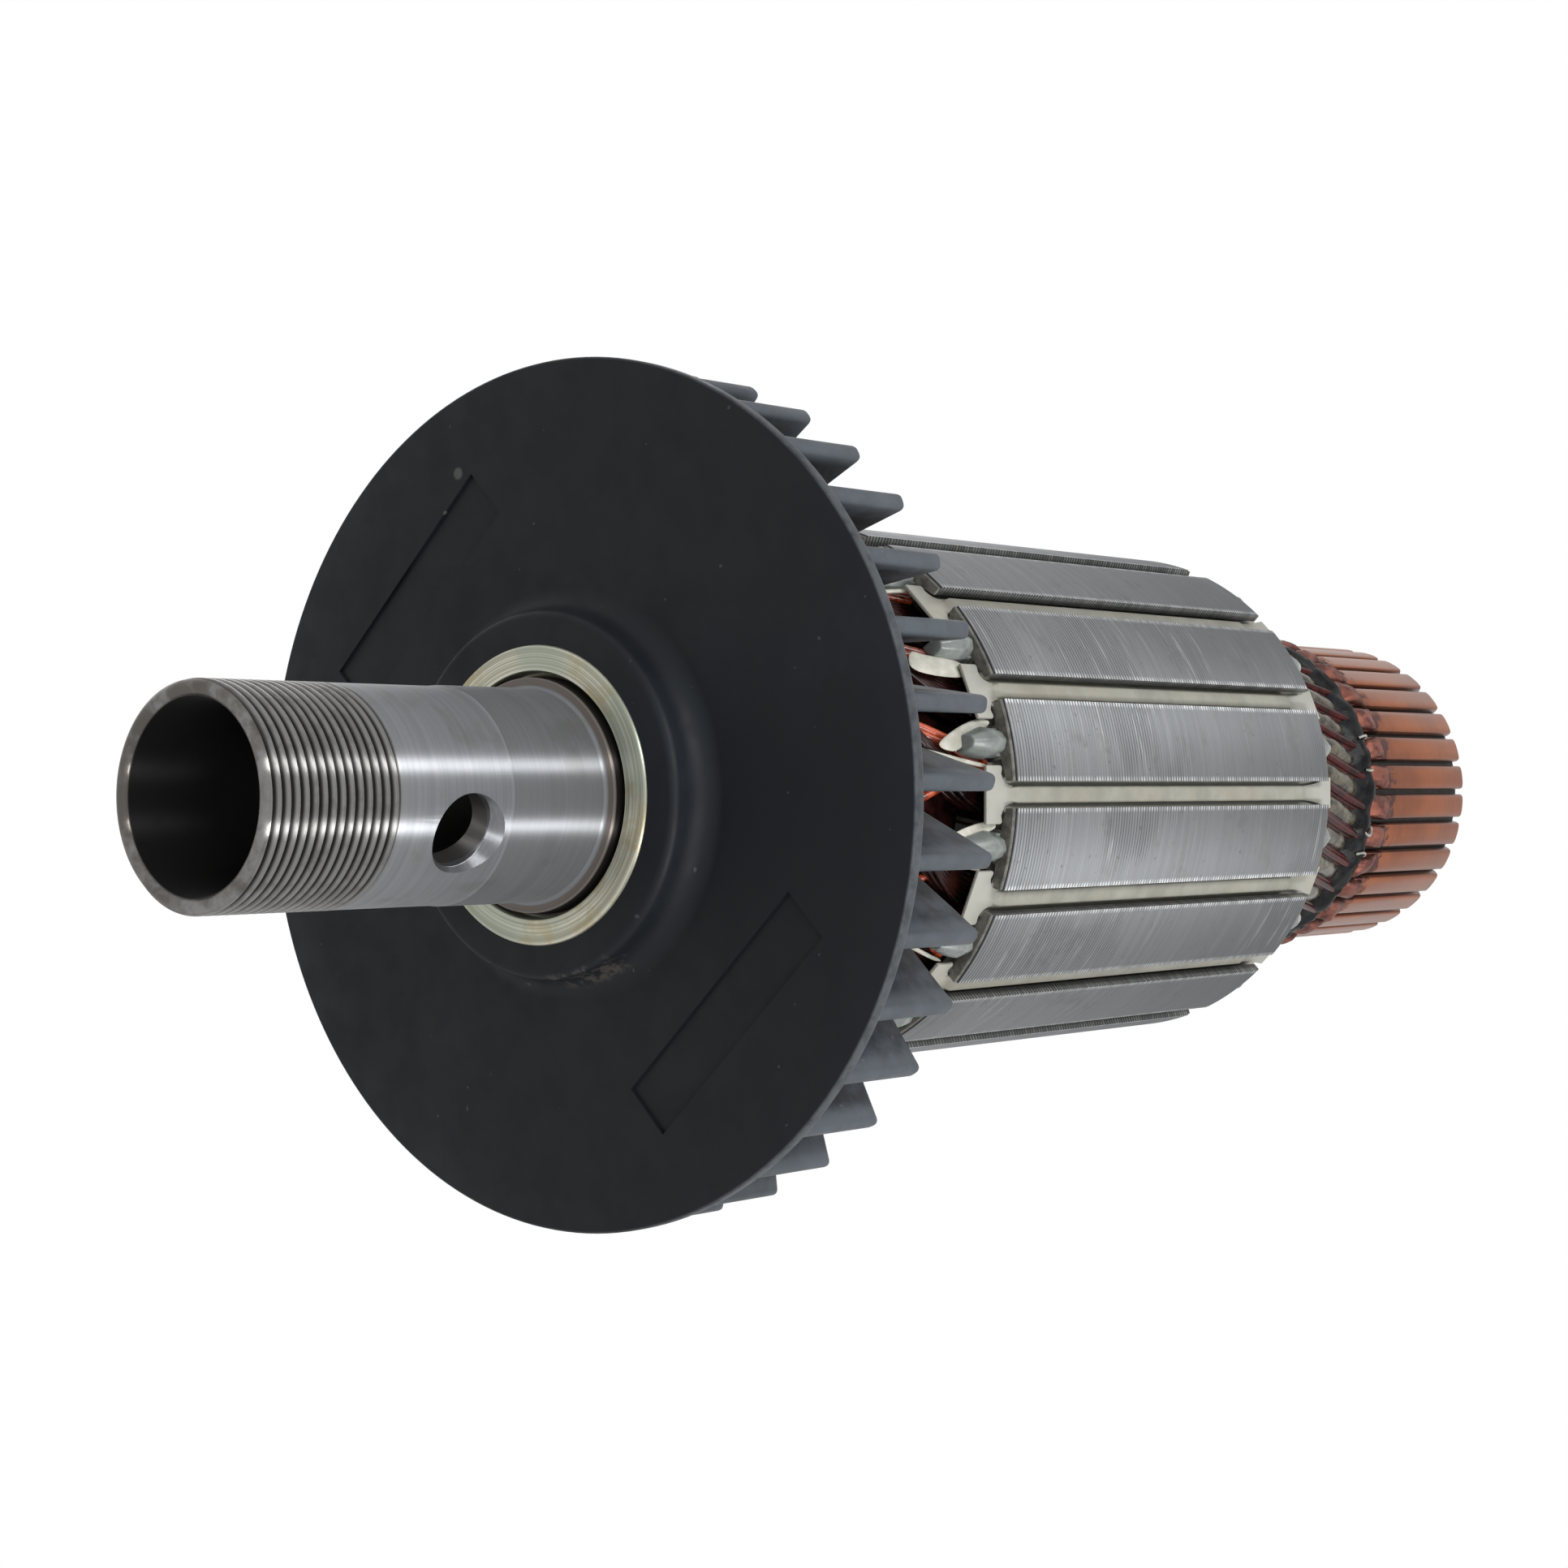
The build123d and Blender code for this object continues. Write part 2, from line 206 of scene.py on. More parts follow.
def slab(name, outline, reach):
    """An outline of points becomes a face, which is extruded by a reach (both in mm)"""
    piece = chain(name, outline)
    edit(piece)
    bpy.ops.mesh.edge_face_add()
    bpy.ops.mesh.extrude_region_move(TRANSFORM_OT_translate={"value": Vector(reach) * MM})
    done()
    weld(piece)
    return piece


def prism(name, outline, front, rear):
    """A bar along the shaft, between two stations, whose section is an outline of points (y, z)"""
    return slab(name, [(front, y, z) for y, z in outline], (rear - front, 0, 0))


def arc(x, radius, reach, start, end, steps=8):
    """Stations on a round corner about (x, radius), between two angles from the shaft's direction"""
    turns = [radians(start + (end - start) * k / steps) for k in range(steps + 1)]
    return [(x + reach * cos(turn), radius + reach * sin(turn)) for turn in turns]


def way(stations):
    """Points at (x, radius, degrees round the shaft from the top) as places in space"""
    return [(x, -radius * sin(radians(turn)), radius * cos(radians(turn))) for x, radius, turn in stations]


def wire(name, points, radius, sides=3):
    """A line of edges turned into a curve with a round section, and back into a mesh"""
    piece = chain(name, points)
    take(piece)
    bpy.ops.object.convert(target="CURVE")
    piece.data.bevel_depth = radius * MM
    piece.data.bevel_resolution = sides
    piece.data.use_fill_caps = True
    bpy.ops.object.convert(target="MESH")
    return bpy.context.object


def finished(piece, material, slot, *nodes):
    """Give a piece and the CAD nodes that it stands for their material, and let it ride on the armature"""
    for dressed in [piece] + [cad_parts[node] for node in nodes]:
        dressed.data.materials.clear()
        dressed.data.materials.append(material)
    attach(piece, "root")
    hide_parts(*nodes)
    print(piece.name, len(piece.data.polygons), "faces")


# %% [markdown]
# Materials are made of shader nodes. These helpers add one node with its settings and inputs, so that
# a finish reads like a recipe. A colour is given as six hex digits or as a link.

# %% Node helpers
def feed(tree, node, inputs):
    """Give a node its inputs, each as a value or as a link"""
    for key, value in inputs.items():
        if isinstance(value, bpy.types.NodeSocket):
            tree.links.new(value, node.inputs[key])
        else:
            node.inputs[key].default_value = value


def add_node(tree, kind, inputs, **settings):
    """One shader node with its settings and inputs"""
    made = tree.nodes.new(kind)
    for key, value in settings.items():
        setattr(made, key, value)
    feed(tree, made, inputs)
    return made


def maths(tree, operation, first, second=0.0):
    """The result of one Math node"""
    return add_node(tree, "ShaderNodeMath", {0: first, 1: second}, operation=operation).outputs[0]


def times(tree, first, *others):
    """The product of some values"""
    for other in others:
        first = maths(tree, "MULTIPLY", first, other)
    return first


def ramp(tree, value, low, high, to_low=0.0, to_high=1.0):
    """A value mapped smoothly from one range to another"""
    inputs = {"Value": value, "From Min": low, "From Max": high, "To Min": to_low, "To Max": to_high}
    return add_node(tree, "ShaderNodeMapRange", inputs, interpolation_type="SMOOTHSTEP").outputs[0]


def noise(tree, vector, scale, detail=2.0, roughness=0.5):
    """The value of a Noise Texture"""
    inputs = {"Vector": vector, "Scale": scale, "Detail": detail, "Roughness": roughness}
    return add_node(tree, "ShaderNodeTexNoise", inputs).outputs[0]


def bump(tree, height, distance, strength):
    """A normal from a height, with its real depth in millimetres"""
    inputs = {"Height": height, "Distance": distance * MM, "Strength": strength}
    return add_node(tree, "ShaderNodeBump", inputs).outputs[0]


def hue(code):
    """A colour as the renderer wants it, from six hex digits"""
    parts = [int(code[k : k + 2], 16) / 255 for k in (0, 2, 4)]
    return [p / 12.92 if p <= 0.04045 else ((p + 0.055) / 1.055) ** 2.4 for p in parts] + [1.0]


def blend(tree, mask, low, high, amount=1.0):
    """Two colours mixed by a mask, up to some amount"""
    low, high = [hue(end) if isinstance(end, str) else end for end in (low, high)]
    inputs = {0: times(tree, mask, amount), 6: low, 7: high}
    return add_node(tree, "ShaderNodeMix", inputs, data_type="RGBA").outputs[2]


def split(tree, place):
    """The x, y and z of a place"""
    return add_node(tree, "ShaderNodeSeparateXYZ", {0: place}).outputs


def from_axis(tree, place):
    """How far a place lies from the shaft's axis"""
    x, y, z = split(tree, place)
    return maths(tree, "SQRT", maths(tree, "ADD", times(tree, y, y), times(tree, z, z)))


def near(tree, place, spot, reach, full):
    """A mask round a spot, full up to one distance and gone at its reach (mm)"""
    away = add_node(tree, "ShaderNodeVectorMath", {0: place, 1: Vector(spot) * MM}, operation="DISTANCE")
    return ramp(tree, away.outputs["Value"], reach * MM, full * MM)


def new_material(name):
    """An empty material: its node tree, its Principled shader and the place on the piece"""
    material = bpy.data.materials.new(name)
    material.use_nodes = True
    tree = material.node_tree
    place = add_node(tree, "ShaderNodeTexCoord", {}).outputs["Object"]
    return material, tree, tree.nodes["Principled BSDF"], place


def turned_gloss(tree, shader, place, amount):
    """Spread a turned metal's gloss across its fine rings: along the shaft, or outward on a flat face"""
    x, y, z = split(tree, place)
    across = add_node(tree, "ShaderNodeCombineXYZ", {0: from_axis(tree, place), 1: y, 2: z}).outputs[0]
    feed(tree, shader, {"Tangent": across, "Anisotropic": amount})


def new_group(name, inputs, outputs):
    """An empty node group; its input Place is a vector, and all else is a number"""
    group = bpy.data.node_groups.new(name, "ShaderNodeTree")
    for labels, in_out in ((inputs, "INPUT"), (outputs, "OUTPUT")):
        for label in labels:
            kind = "NodeSocketVector" if label == "Place" else "NodeSocketFloat"
            group.interface.new_socket(label, in_out=in_out, socket_type=kind)
    return group, group.nodes.new("NodeGroupInput").outputs, group.nodes.new("NodeGroupOutput")


def use_group(tree, group, **inputs):
    """Place a node group and return its outputs"""
    named = {label.replace("_", " "): value for label, value in inputs.items()}
    return add_node(tree, "ShaderNodeGroup", named, node_tree=group).outputs


# %% [markdown]
# Several finishes share an effect, so each effect is a node group with named inputs and outputs. The
# first one draws the fine rings that a lathe or a grinding wheel leaves round a turned piece. It reads
# how far along and how far out a point lies, and hardly at all where it lies round the shaft. The
# second one draws soft blotches of stain or dust.

# %% Shared effects
turning_marks, given, result = new_group(
    "turning_marks", ["Place", "Fineness"], ["Marks", "Bands", "Along", "Out"]
)
x, y, z = split(turning_marks, given["Place"])
along, slow = times(turning_marks, x, 1000), times(turning_marks, z, 12)
outward = times(turning_marks, from_axis(turning_marks, given["Place"]), 1000)
fine_place = add_node(turning_marks, "ShaderNodeCombineXYZ", {0: along, 1: outward, 2: slow}).outputs[0]
coarse = times(turning_marks, given["Fineness"], 0.18)
feed(turning_marks, result, {
    "Marks": noise(turning_marks, fine_place, given["Fineness"], 3, 0.6),
    "Bands": noise(turning_marks, fine_place, coarse, 2, 0.5),
    "Along": along,
    "Out": outward,
})

blotches, given, result = new_group("blotches", ["Place", "Size mm", "Amount"], ["Mask"])
per_metre = maths(blotches, "DIVIDE", 1000.0, given["Size mm"])
cloud = noise(blotches, given["Place"], per_metre, 5, 0.6)
edge = maths(blotches, "SUBTRACT", 0.75, times(blotches, given["Amount"], 0.4))
feed(blotches, result, {"Mask": ramp(blotches, cloud, edge, maths(blotches, "ADD", edge, 0.12))})

# %% [markdown]
# Ground and turned steel is a grey metal that is rarely even: it has rings and a few brown stains. Painted
# shade darkens the bore, the roots of the thread and the gap at the shoulder, and the lip has brown stains
# mixed with painted dark reflections. Where the surface lies tells these places.

# %% Spindle steel
spindle_steel, tree, shader, place = new_material("spindle_steel")
marks = use_group(tree, turning_marks, Place=place, Fineness=3.2)
along, outward = marks["Along"], marks["Out"]
stains = use_group(tree, blotches, Place=place, Size_mm=7.0, Amount=0.55)
colour = blend(tree, ramp(tree, marks["Marks"], 0.3, 0.7), "7e8083", "898b8e")
colour = blend(tree, stains["Mask"], colour, "6b6459", 0.3)
on_seat = times(tree, ramp(tree, along, -6.1, -5.8), ramp(tree, along, 5.8, 5.6))
colour = blend(tree, on_seat, colour, "6d6f72", 0.25)
on_thread = ramp(tree, along, -19.1, -19.6)
colour = blend(tree, on_thread, colour, "888785", 0.9)
rust = times(tree, on_thread, ramp(tree, noise(tree, place, 330, 4, 0.65), 0.48, 0.62))
colour = blend(tree, rust, colour, "54473f", 0.3)
# Painted shade: the roots of the thread are darkened nearly to black.
groove = times(tree, ramp(tree, outward, 9.9, 9.6), ramp(tree, outward, 8.9, 9.2))
in_root = times(tree, groove, ramp(tree, along, -34.0, -33.8), on_thread)
colour = blend(tree, in_root, colour, "1e1d1d", 0.9)
# Painted shade: the bore is near black for its first 17 mm, and grey further in.
in_bore = times(tree, ramp(tree, outward, 8.52, 8.43), ramp(tree, along, 12, 11))
painted_bore_shade = blend(tree, ramp(tree, along, -17, -15), "171616", "6a6866")
colour = blend(tree, in_bore, colour, painted_bore_shade, 0.97)
on_shoulder = times(tree, ramp(tree, along, 5.85, 5.95), ramp(tree, outward, 10.25, 10.35))
colour = blend(tree, on_shoulder, colour, "6b5a4a", 0.6)
# Painted shadow: the narrow gap between the shoulder and the bush is near black.
in_gap = times(tree, ramp(tree, along, 6.15, 6.4), ramp(tree, outward, 11.2, 11.1))
colour = blend(tree, in_gap, colour, "0d0b0a", 0.95)
# The lip gets brown stains mixed with painted dark reflections.
on_lip = times(tree, ramp(tree, along, -33.1, -33.4), maths(tree, "SUBTRACT", 1.0, in_bore))
lip_stains_and_shade = ramp(tree, noise(tree, place, 260, 4, 0.6), 0.4, 0.6, 0.2, 0.9)
colour = blend(tree, times(tree, on_lip, lip_stains_and_shade), colour, "544f4a")
dull = maths(tree, "ADD", ramp(tree, marks["Bands"], 0.3, 0.7, 0.4, 0.44), times(tree, in_bore, 0.3))
polish = maths(tree, "ADD", times(tree, on_thread, 0.08), times(tree, on_seat, 0.04))
polish = maths(tree, "ADD", polish, times(tree, on_lip, 0.08))
feed(tree, shader, {
    "Base Color": colour,
    "Metallic": ramp(tree, on_thread, 0.0, 1.0, 0.75, 0.9),
    "Roughness": maths(tree, "SUBTRACT", dull, polish),
    "Normal": bump(tree, marks["Marks"], 0.01, 0.3),
})
turned_gloss(tree, shader, place, 1.0)

# %% [markdown]
# The bush in the fan's hub is faced and coated, so its rings lie on its flat front and it has the
# pale straw tint of zinc.

# %% Coated bush
bush_coat, tree, shader, place = new_material("bush_coat")
marks = use_group(tree, turning_marks, Place=place, Fineness=4.5)
stains = use_group(tree, blotches, Place=place, Size_mm=4.0, Amount=0.7)
colour = blend(tree, ramp(tree, marks["Marks"], 0.35, 0.65), "9b9987", "cfcdbd")
colour = blend(tree, stains["Mask"], colour, "a08c5a", 0.4)
greenish = ramp(tree, noise(tree, place, 90, 2, 0.5), 0.45, 0.6)
feed(tree, shader, {
    "Base Color": blend(tree, greenish, colour, "87968b", 0.5),
    "Metallic": 0.85,
    "Roughness": ramp(tree, marks["Bands"], 0.3, 0.7, 0.3, 0.5),
    "Normal": bump(tree, marks["Marks"], 0.03, 0.5),
})
turned_gloss(tree, shader, place, 0.6)

# %% [markdown]
# Black moulded plastic is never quite black. The fan is darker on its face, greyer and bluer on the
# blades, and worn pale along the rim, with a little dust, two pale specks and a rubbed place under
# the boss.

# %% Fan plastic
fan_plastic, tree, shader, place = new_material("fan_plastic")
outward = use_group(tree, turning_marks, Place=place, Fineness=1.0)["Out"]
dust = use_group(tree, blotches, Place=place, Size_mm=30.0, Amount=0.5)
face_colour = blend(tree, dust["Mask"], "1a1d21", "24282d", 0.4)
on_blades = ramp(tree, split(tree, place)[0], 11.9 * MM, 12.5 * MM)
film = ramp(tree, noise(tree, place, 380, 4, 0.65), 0.4, 0.62)
blade_colour = blend(tree, film, "1c2025", "2f353c")
blade_colour = blend(tree, ramp(tree, outward, 38.6, 40.2), blade_colour, "565c62", 0.5)
colour = blend(tree, on_blades, face_colour, blade_colour)
wear = ramp(tree, noise(tree, place, 500, 4, 0.7), 0.3, 0.62, 0.35, 0.9)
colour = blend(tree, times(tree, wear, ramp(tree, outward, 41.1, 41.35)), colour, "4c4f52")
specks = ramp(tree, noise(tree, place, 900, 1, 0.5), 0.77, 0.8)
colour = blend(tree, specks, colour, "6c6e70", 0.25)
for spot, size in (((11.0, 14.2, 31.4), 0.75), ((11.0, 16.0, 27.6), 0.35)):
    colour = blend(tree, near(tree, place, spot, size, size / 2), colour, "8b8d86", 0.35)
edge_of_boss = times(tree, ramp(tree, outward, 16.7, 17.2), ramp(tree, outward, 18.6, 17.8))
rubbed = times(tree, edge_of_boss, ramp(tree, noise(tree, place, 900, 4, 0.7), 0.46, 0.6))
smear = times(tree, rubbed, near(tree, place, (9.5, -4.8, -16.8), 6, 3))
feed(tree, shader, {
    "Base Color": blend(tree, smear, colour, "6a6259", 0.35),
    "Roughness": ramp(tree, noise(tree, place, 260, 4, 0.6), 0.3, 0.7, 0.46, 0.6),
    "Specular IOR Level": ramp(tree, on_blades, 0.0, 1.0, 0.16, 0.3),
    "Normal": bump(tree, noise(tree, place, 2600, 3, 0.6), 0.015, 0.5),
})

# %% [markdown]
# The core is a stack of half-millimetre steel sheets. Each sheet gets its own shade from its number in
# the stack, a thin dark line lies between two sheets, and grinding left short streaks round the core
# and pale burrs along the slots.

# %% Core steel
core_front, core_rear, core_radius, slot_count, sheet_thickness = 46.0, 108.5, 28.0, 16, 0.5
core_steel, tree, shader, place = new_material("core_steel")
marks = use_group(tree, turning_marks, Place=place, Fineness=1.4)
along = marks["Along"]
sheet = maths(tree, "DIVIDE", maths(tree, "SUBTRACT", along, core_front), sheet_thickness)
number = maths(tree, "FLOOR", sheet)
own_shade = add_node(tree, "ShaderNodeTexWhiteNoise", {"W": number}, noise_dimensions="1D").outputs["Value"]
from_edge = maths(tree, "PINGPONG", sheet, 0.5)
stretched = add_node(tree, "ShaderNodeMapping", {"Vector": place, "Scale": (1500, 110, 110)}).outputs[0]
cleaned = ramp(tree, noise(tree, place, 38, 3, 0.55), 0.48, 0.64)
colour = blend(tree, own_shade, "7b7d7f", "858789")
# Painted shade: the core darkens from front to rear, as the light falls off along it.
colour = blend(tree, ramp(tree, along, 50, 108), colour, "5c5e60", 0.75)
streaks = ramp(tree, noise(tree, stretched, 1.0, 3, 0.6), 0.55, 0.72)
colour = blend(tree, times(tree, streaks, ramp(tree, cleaned, 0.0, 1.0, 0.1, 0.8)), colour, "aaacad")
open_lines = maths(tree, "MAXIMUM", cleaned, ramp(tree, along, 57, 48, 0.0, 0.8))
line_depth = times(tree, ramp(tree, from_edge, 0.3, 0.06), ramp(tree, open_lines, 0.0, 1.0, 0.15, 0.85))
colour = blend(tree, line_depth, colour, "4a4c4f")
dents = ramp(tree, noise(tree, place, 1300, 2, 0.5), 0.68, 0.74)
colour = blend(tree, dents, colour, "56585a", 0.6)
grime = ramp(tree, noise(tree, place, 240, 5, 0.7), 0.54, 0.68)
colour = blend(tree, grime, colour, "5d5b54", 0.35)
x, y, z = split(tree, place)
arc_length = times(tree, maths(tree, "ARCTAN2", z, y), core_radius)
from_slot = maths(tree, "PINGPONG", arc_length, core_radius * pi / slot_count)
ragged = ramp(tree, noise(tree, stretched, 0.9, 2, 0.5), 0.4, 0.6, 0.4, 1.0)
burr = times(tree, ramp(tree, from_slot, 1.95, 1.55), ragged, ramp(tree, from_edge, 0.15, 0.35))
colour = blend(tree, burr, colour, "d0d2d2", 0.75)
# Painted shade: the walls down in the slots are darker.
painted_slot_shade = ramp(tree, marks["Out"], core_radius - 0.3, core_radius - 0.7)
relief = maths(tree, "SUBTRACT", times(tree, own_shade, 0.4), line_depth)
feed(tree, shader, {
    "Base Color": blend(tree, painted_slot_shade, colour, "4a4a48", 0.6),
    "Metallic": 0.8,
    "Roughness": ramp(tree, cleaned, 0.0, 1.0, 0.52, 0.42),
    "Normal": bump(tree, relief, 0.05, 0.5),
})
turned_gloss(tree, shader, place, 0.75)


# %% [markdown]
# The insulation and the winding use a few simpler finishes of one kind: two colours mixed by a noise,
# with a gloss and a fine relief. One function makes them, and each gets its own numbers.

# %% Plain finishes
def mixed_finish(name, low, high, grain, gloss, relief, grain_mm, weight=0.0, shine=0.5):
    """Two colours mixed by a noise of some size in mm, with a roughness and a bump depth"""
    material, tree, shader, place = new_material(name)
    cloud = noise(tree, place, 1000 / grain_mm, 4, 0.6)
    speckle = noise(tree, place, 6000 / grain_mm, 2, 0.6)
    feed(tree, shader, {
        "Base Color": blend(tree, ramp(tree, cloud, 0.5 - grain, 0.5 + grain), low, high),
        "Roughness": ramp(tree, cloud, 0.3, 0.7, gloss - 0.08, gloss + 0.08),
        "Specular IOR Level": shine,
        "Subsurface Weight": weight,
        "Subsurface Scale": MM,
        "Normal": bump(tree, speckle, relief, 0.5),
    })
    return material


white_paper = mixed_finish("white_paper", "98968a", "bbb9ae", 0.2, 0.45, 0.03, 2.0)
thread_cotton = mixed_finish("thread_cotton", "716f69", "a09e97", 0.15, 0.6, 0.03, 0.8)
fibre = mixed_finish("fibre", "44433e", "6f6c64", 0.2, 0.75, 0.05, 1.0)
finger_plastic = mixed_finish("finger_plastic", "616765", "7d827f", 0.25, 0.28, 0.02, 3.0, 0.15)
black_resin = mixed_finish("black_resin", "050506", "131416", 0.15, 0.3, 0.06, 1.2, shine=0.12)
bulge_resin = mixed_finish("bulge_resin", "1f1a13", "544e3f", 0.15, 0.13, 0.04, 1.2, shine=0.35)
# The winding's enamel is near black, dark resin and painted shade; its lit copy shows the wires' orange
# where light falls on them.
enamel_in_resin_and_shade = mixed_finish("enamel_in_resin_and_shade", "060404", "260e0b", 0.2, 0.25, 0.02, 2.5, shine=0.25)
lead_enamel = mixed_finish("lead_enamel", "190707", "441515", 0.2, 0.2, 0.02, 1.5, shine=0.1)
lit_enamel = mixed_finish("lit_enamel", "3a140c", "b04a28", 0.2, 0.22, 0.02, 1.2)
hub_moulding = mixed_finish("hub_moulding", "120d0a", "241a14", 0.2, 0.5, 0.04, 1.5, shine=0.2)
sleeve_plastic = mixed_finish("sleeve_plastic", "8d8975", "b5b09b", 0.2, 0.5, 0.03, 3.0)

# %% [markdown]
# The wedges are pale where they are free, at the T and at the rear flare, and have yellowed and
# gathered dust along the slot between.

# %% Slot paper
slot_paper, tree, shader, place = new_material("slot_paper")
marks = use_group(tree, turning_marks, Place=place, Fineness=1.0)
along, outward = marks["Along"], marks["Out"]
dust = use_group(tree, blotches, Place=place, Size_mm=6.0, Amount=0.7)
free_end = maths(tree, "MAXIMUM", ramp(tree, along, 47.5, 45.5), ramp(tree, along, 105, 108))
colour = blend(tree, ramp(tree, noise(tree, place, 300, 4, 0.6), 0.3, 0.7), "7c7b71", "8e8d83")
colour = blend(tree, free_end, colour, "999890")
colour = blend(tree, dust["Mask"], colour, "8b8470", 0.3)
feed(tree, shader, {
    # Painted shade: the wedge and the liner are darker down in the slot, below 26 mm.
    "Base Color": blend(tree, ramp(tree, outward, 26.4, 26.0), colour, "4e4c44", 0.6),
    "Roughness": 0.5,
    "Normal": bump(tree, noise(tree, place, 1600, 3, 0.6), 0.03, 0.5),
})

# %% [markdown]
# Copper bars are turned true on the lathe after the hooks are folded, and go dull and brown in use. A
# thin film lies on them. It isn't seen from the front but is pale from the side, so Layer Weight turns
# a soft clear coat on towards the edges. The burnt hooks have none.

# %% Bar copper
bar_copper, tree, shader, place = new_material("bar_copper")
marks = use_group(tree, turning_marks, Place=place, Fineness=2.2)
tarnish = noise(tree, place, 130, 4, 0.6)
colour = blend(tree, ramp(tree, tarnish, 0.3, 0.7), "73422c", "855036")
colour = blend(tree, ramp(tree, marks["Marks"], 0.4, 0.7), colour, "9c6b50", 0.15)
uneven = ramp(tree, noise(tree, place, 620, 4, 0.65), 0.3, 0.7, -1.3, 1.3)
ragged = maths(tree, "ADD", marks["Along"], uneven)
on_hook = ramp(tree, ragged, 140.4, 139.8)
colour = blend(tree, on_hook, colour, "744840", 0.75)
burnt = times(tree, ramp(tree, ragged, 142.0, 140.9), ramp(tree, ragged, 138.8, 139.8), 0.9)
charred = times(tree, on_hook, ramp(tree, noise(tree, place, 480, 4, 0.7), 0.48, 0.6, 0.0, 0.7))
colour = blend(tree, maths(tree, "MAXIMUM", burnt, charred), colour, "41292a")
edge_on = add_node(tree, "ShaderNodeLayerWeight", {}).outputs["Facing"]
feed(tree, shader, {
    # Painted shade: the copper goes dark below 18.6 mm, in the gaps between bars and under the hooks.
    "Base Color": blend(tree, ramp(tree, marks["Out"], 18.6, 18.0), colour, "2a140c", 0.85),
    "Metallic": 0.85,
    "Roughness": ramp(tree, tarnish, 0.3, 0.7, 0.48, 0.58),
    "Coat Weight": times(tree, ramp(tree, edge_on, 0.6, 0.8), ramp(tree, ragged, 141.5, 143.0)),
    "Coat Roughness": 0.5,
    "Normal": bump(tree, marks["Marks"], 0.01, 0.3),
})
turned_gloss(tree, shader, place, 0.5)

# %% [markdown]
# The spindle is one turned steel bar, hollow at the nose. Its fine thread is the detail that a plain
# cylinder lacks. The profile of one pitch is made as a line of edges, and the Screw modifier winds it
# along the shaft, so the grooves are one true helix. Both ends are cut flat and closed, because the
# next steps need a solid bar.

# %% Wind the nose thread
nose_x, thread_rear, thread_pitch, thread_turns = -34.2, -19.2, 1.0, 17
groove_radius, crest_radius = 9.46, 9.92
profile = [(0, 0), (0.14, 0), (0.34, 0.8), (0.44, 1), (0.70, 1), (0.80, 0.8), (1, 0)]
thread_depth = crest_radius - groove_radius
spindle_thread = chain(
    "spindle_thread",
    [(nose_x - 1.5 + x * thread_pitch, 0, groove_radius + height * thread_depth) for x, height in profile],
)
shape_with(
    spindle_thread,
    "SCREW",
    axis="X",
    angle=tau,
    screw_offset=thread_pitch * MM,
    iterations=thread_turns,
    steps=96,
    render_steps=96,
    use_merge_vertices=True,
    merge_threshold=0.005 * MM,
)
weld(spindle_thread)
thread_end = thread_rear - 0.3
for station, keep_rear in ((nose_x - 0.2, True), (thread_end, False)):
    edit(spindle_thread)
    bpy.ops.mesh.bisect(
        plane_co=(station * MM, 0, 0), plane_no=(1, 0, 0), threshold=1e-7, clear_inner=keep_rear,
        clear_outer=not keep_rear,
    )
    done()
    edit(spindle_thread)
    pick_rims(spindle_thread, station - 0.05, station + 0.05)
    bpy.ops.mesh.edge_face_add()
    done()
weld(spindle_thread)
print("thread", len(spindle_thread.data.vertices), "corners")

# %% [markdown]
# The plain part of the spindle is turned from one closed profile. The fine step in front of the bearing
# seat and the round corner behind it catch the light, so they are in the profile. It is united with the
# threaded bar by the Boolean modifier.

# %% Turn the spindle and unite it with the thread
seat_radius, land_radius, bore_radius, mouth_radius = 10.0, 9.9, 6.5, 8.4
shoulder_radius, hub_seat_radius, hub_seat_rear = 11.0, 11.3, 22.2
shaft_radius, journal_radius, journal_front, shaft_rear = 7.0, 5.0, 162.5, 174.0
spindle = turned(
    "spindle",
    [(thread_end - 0.4, 0), (thread_end - 0.4, 9.0), (thread_end + 0.1, land_radius - 0.1)]
    + [(thread_end + 0.3, land_radius), (-6.25, land_radius), (-6.15, land_radius - 0.06)]
    + [(-6.03, land_radius - 0.06), (-5.88, seat_radius), (5.55, seat_radius), (5.62, seat_radius - 0.07)]
    + arc(5.7, seat_radius + 0.23, 0.3, 270, 360, 5)
    + [(6.0, shoulder_radius - 0.1), (6.1, shoulder_radius), (8.3, shoulder_radius + 0.05)]
    + [(8.4, hub_seat_radius), (hub_seat_rear, hub_seat_radius), (hub_seat_rear, shaft_radius)]
    + [(journal_front, shaft_radius), (journal_front, journal_radius)]
    + [(shaft_rear - 0.5, journal_radius), (shaft_rear, journal_radius - 0.5), (shaft_rear, 0)],
)
shape_with(spindle, "BOOLEAN", object=spindle_thread, operation="UNION", solver="EXACT")
bpy.data.objects.remove(spindle_thread)

# %% [markdown]
# One turning tool takes away all that isn't spindle at the nose: the round edge outside, the flat face
# and the tapered bore. The tool is itself a turned shape, so the bore and the edge stay true to the
# axis.

# %% Bore and round the nose
nose_tool = turned(
    "nose_tool",
    [(nose_x - 2, 0), (nose_x - 2, 13), (nose_x + 1.25, 13), (nose_x + 1.2, crest_radius + 0.03)]
    + arc(nose_x + 0.8, 9.17, 0.8, 90, 240, 14)
    + [(nose_x + 0.6, mouth_radius), (nose_x + 2.0, mouth_radius - 0.2), (nose_x + 18, bore_radius)]
    + [(7.8, bore_radius), (11.5, 0)],
)
cut_with(spindle, nose_tool)

# %% [markdown]
# The hole for the lock pin goes through one side of the hollow spindle and has a bevel that is deeper
# on one side. A cylinder and a cone are placed along the hole and taken out of the spindle.

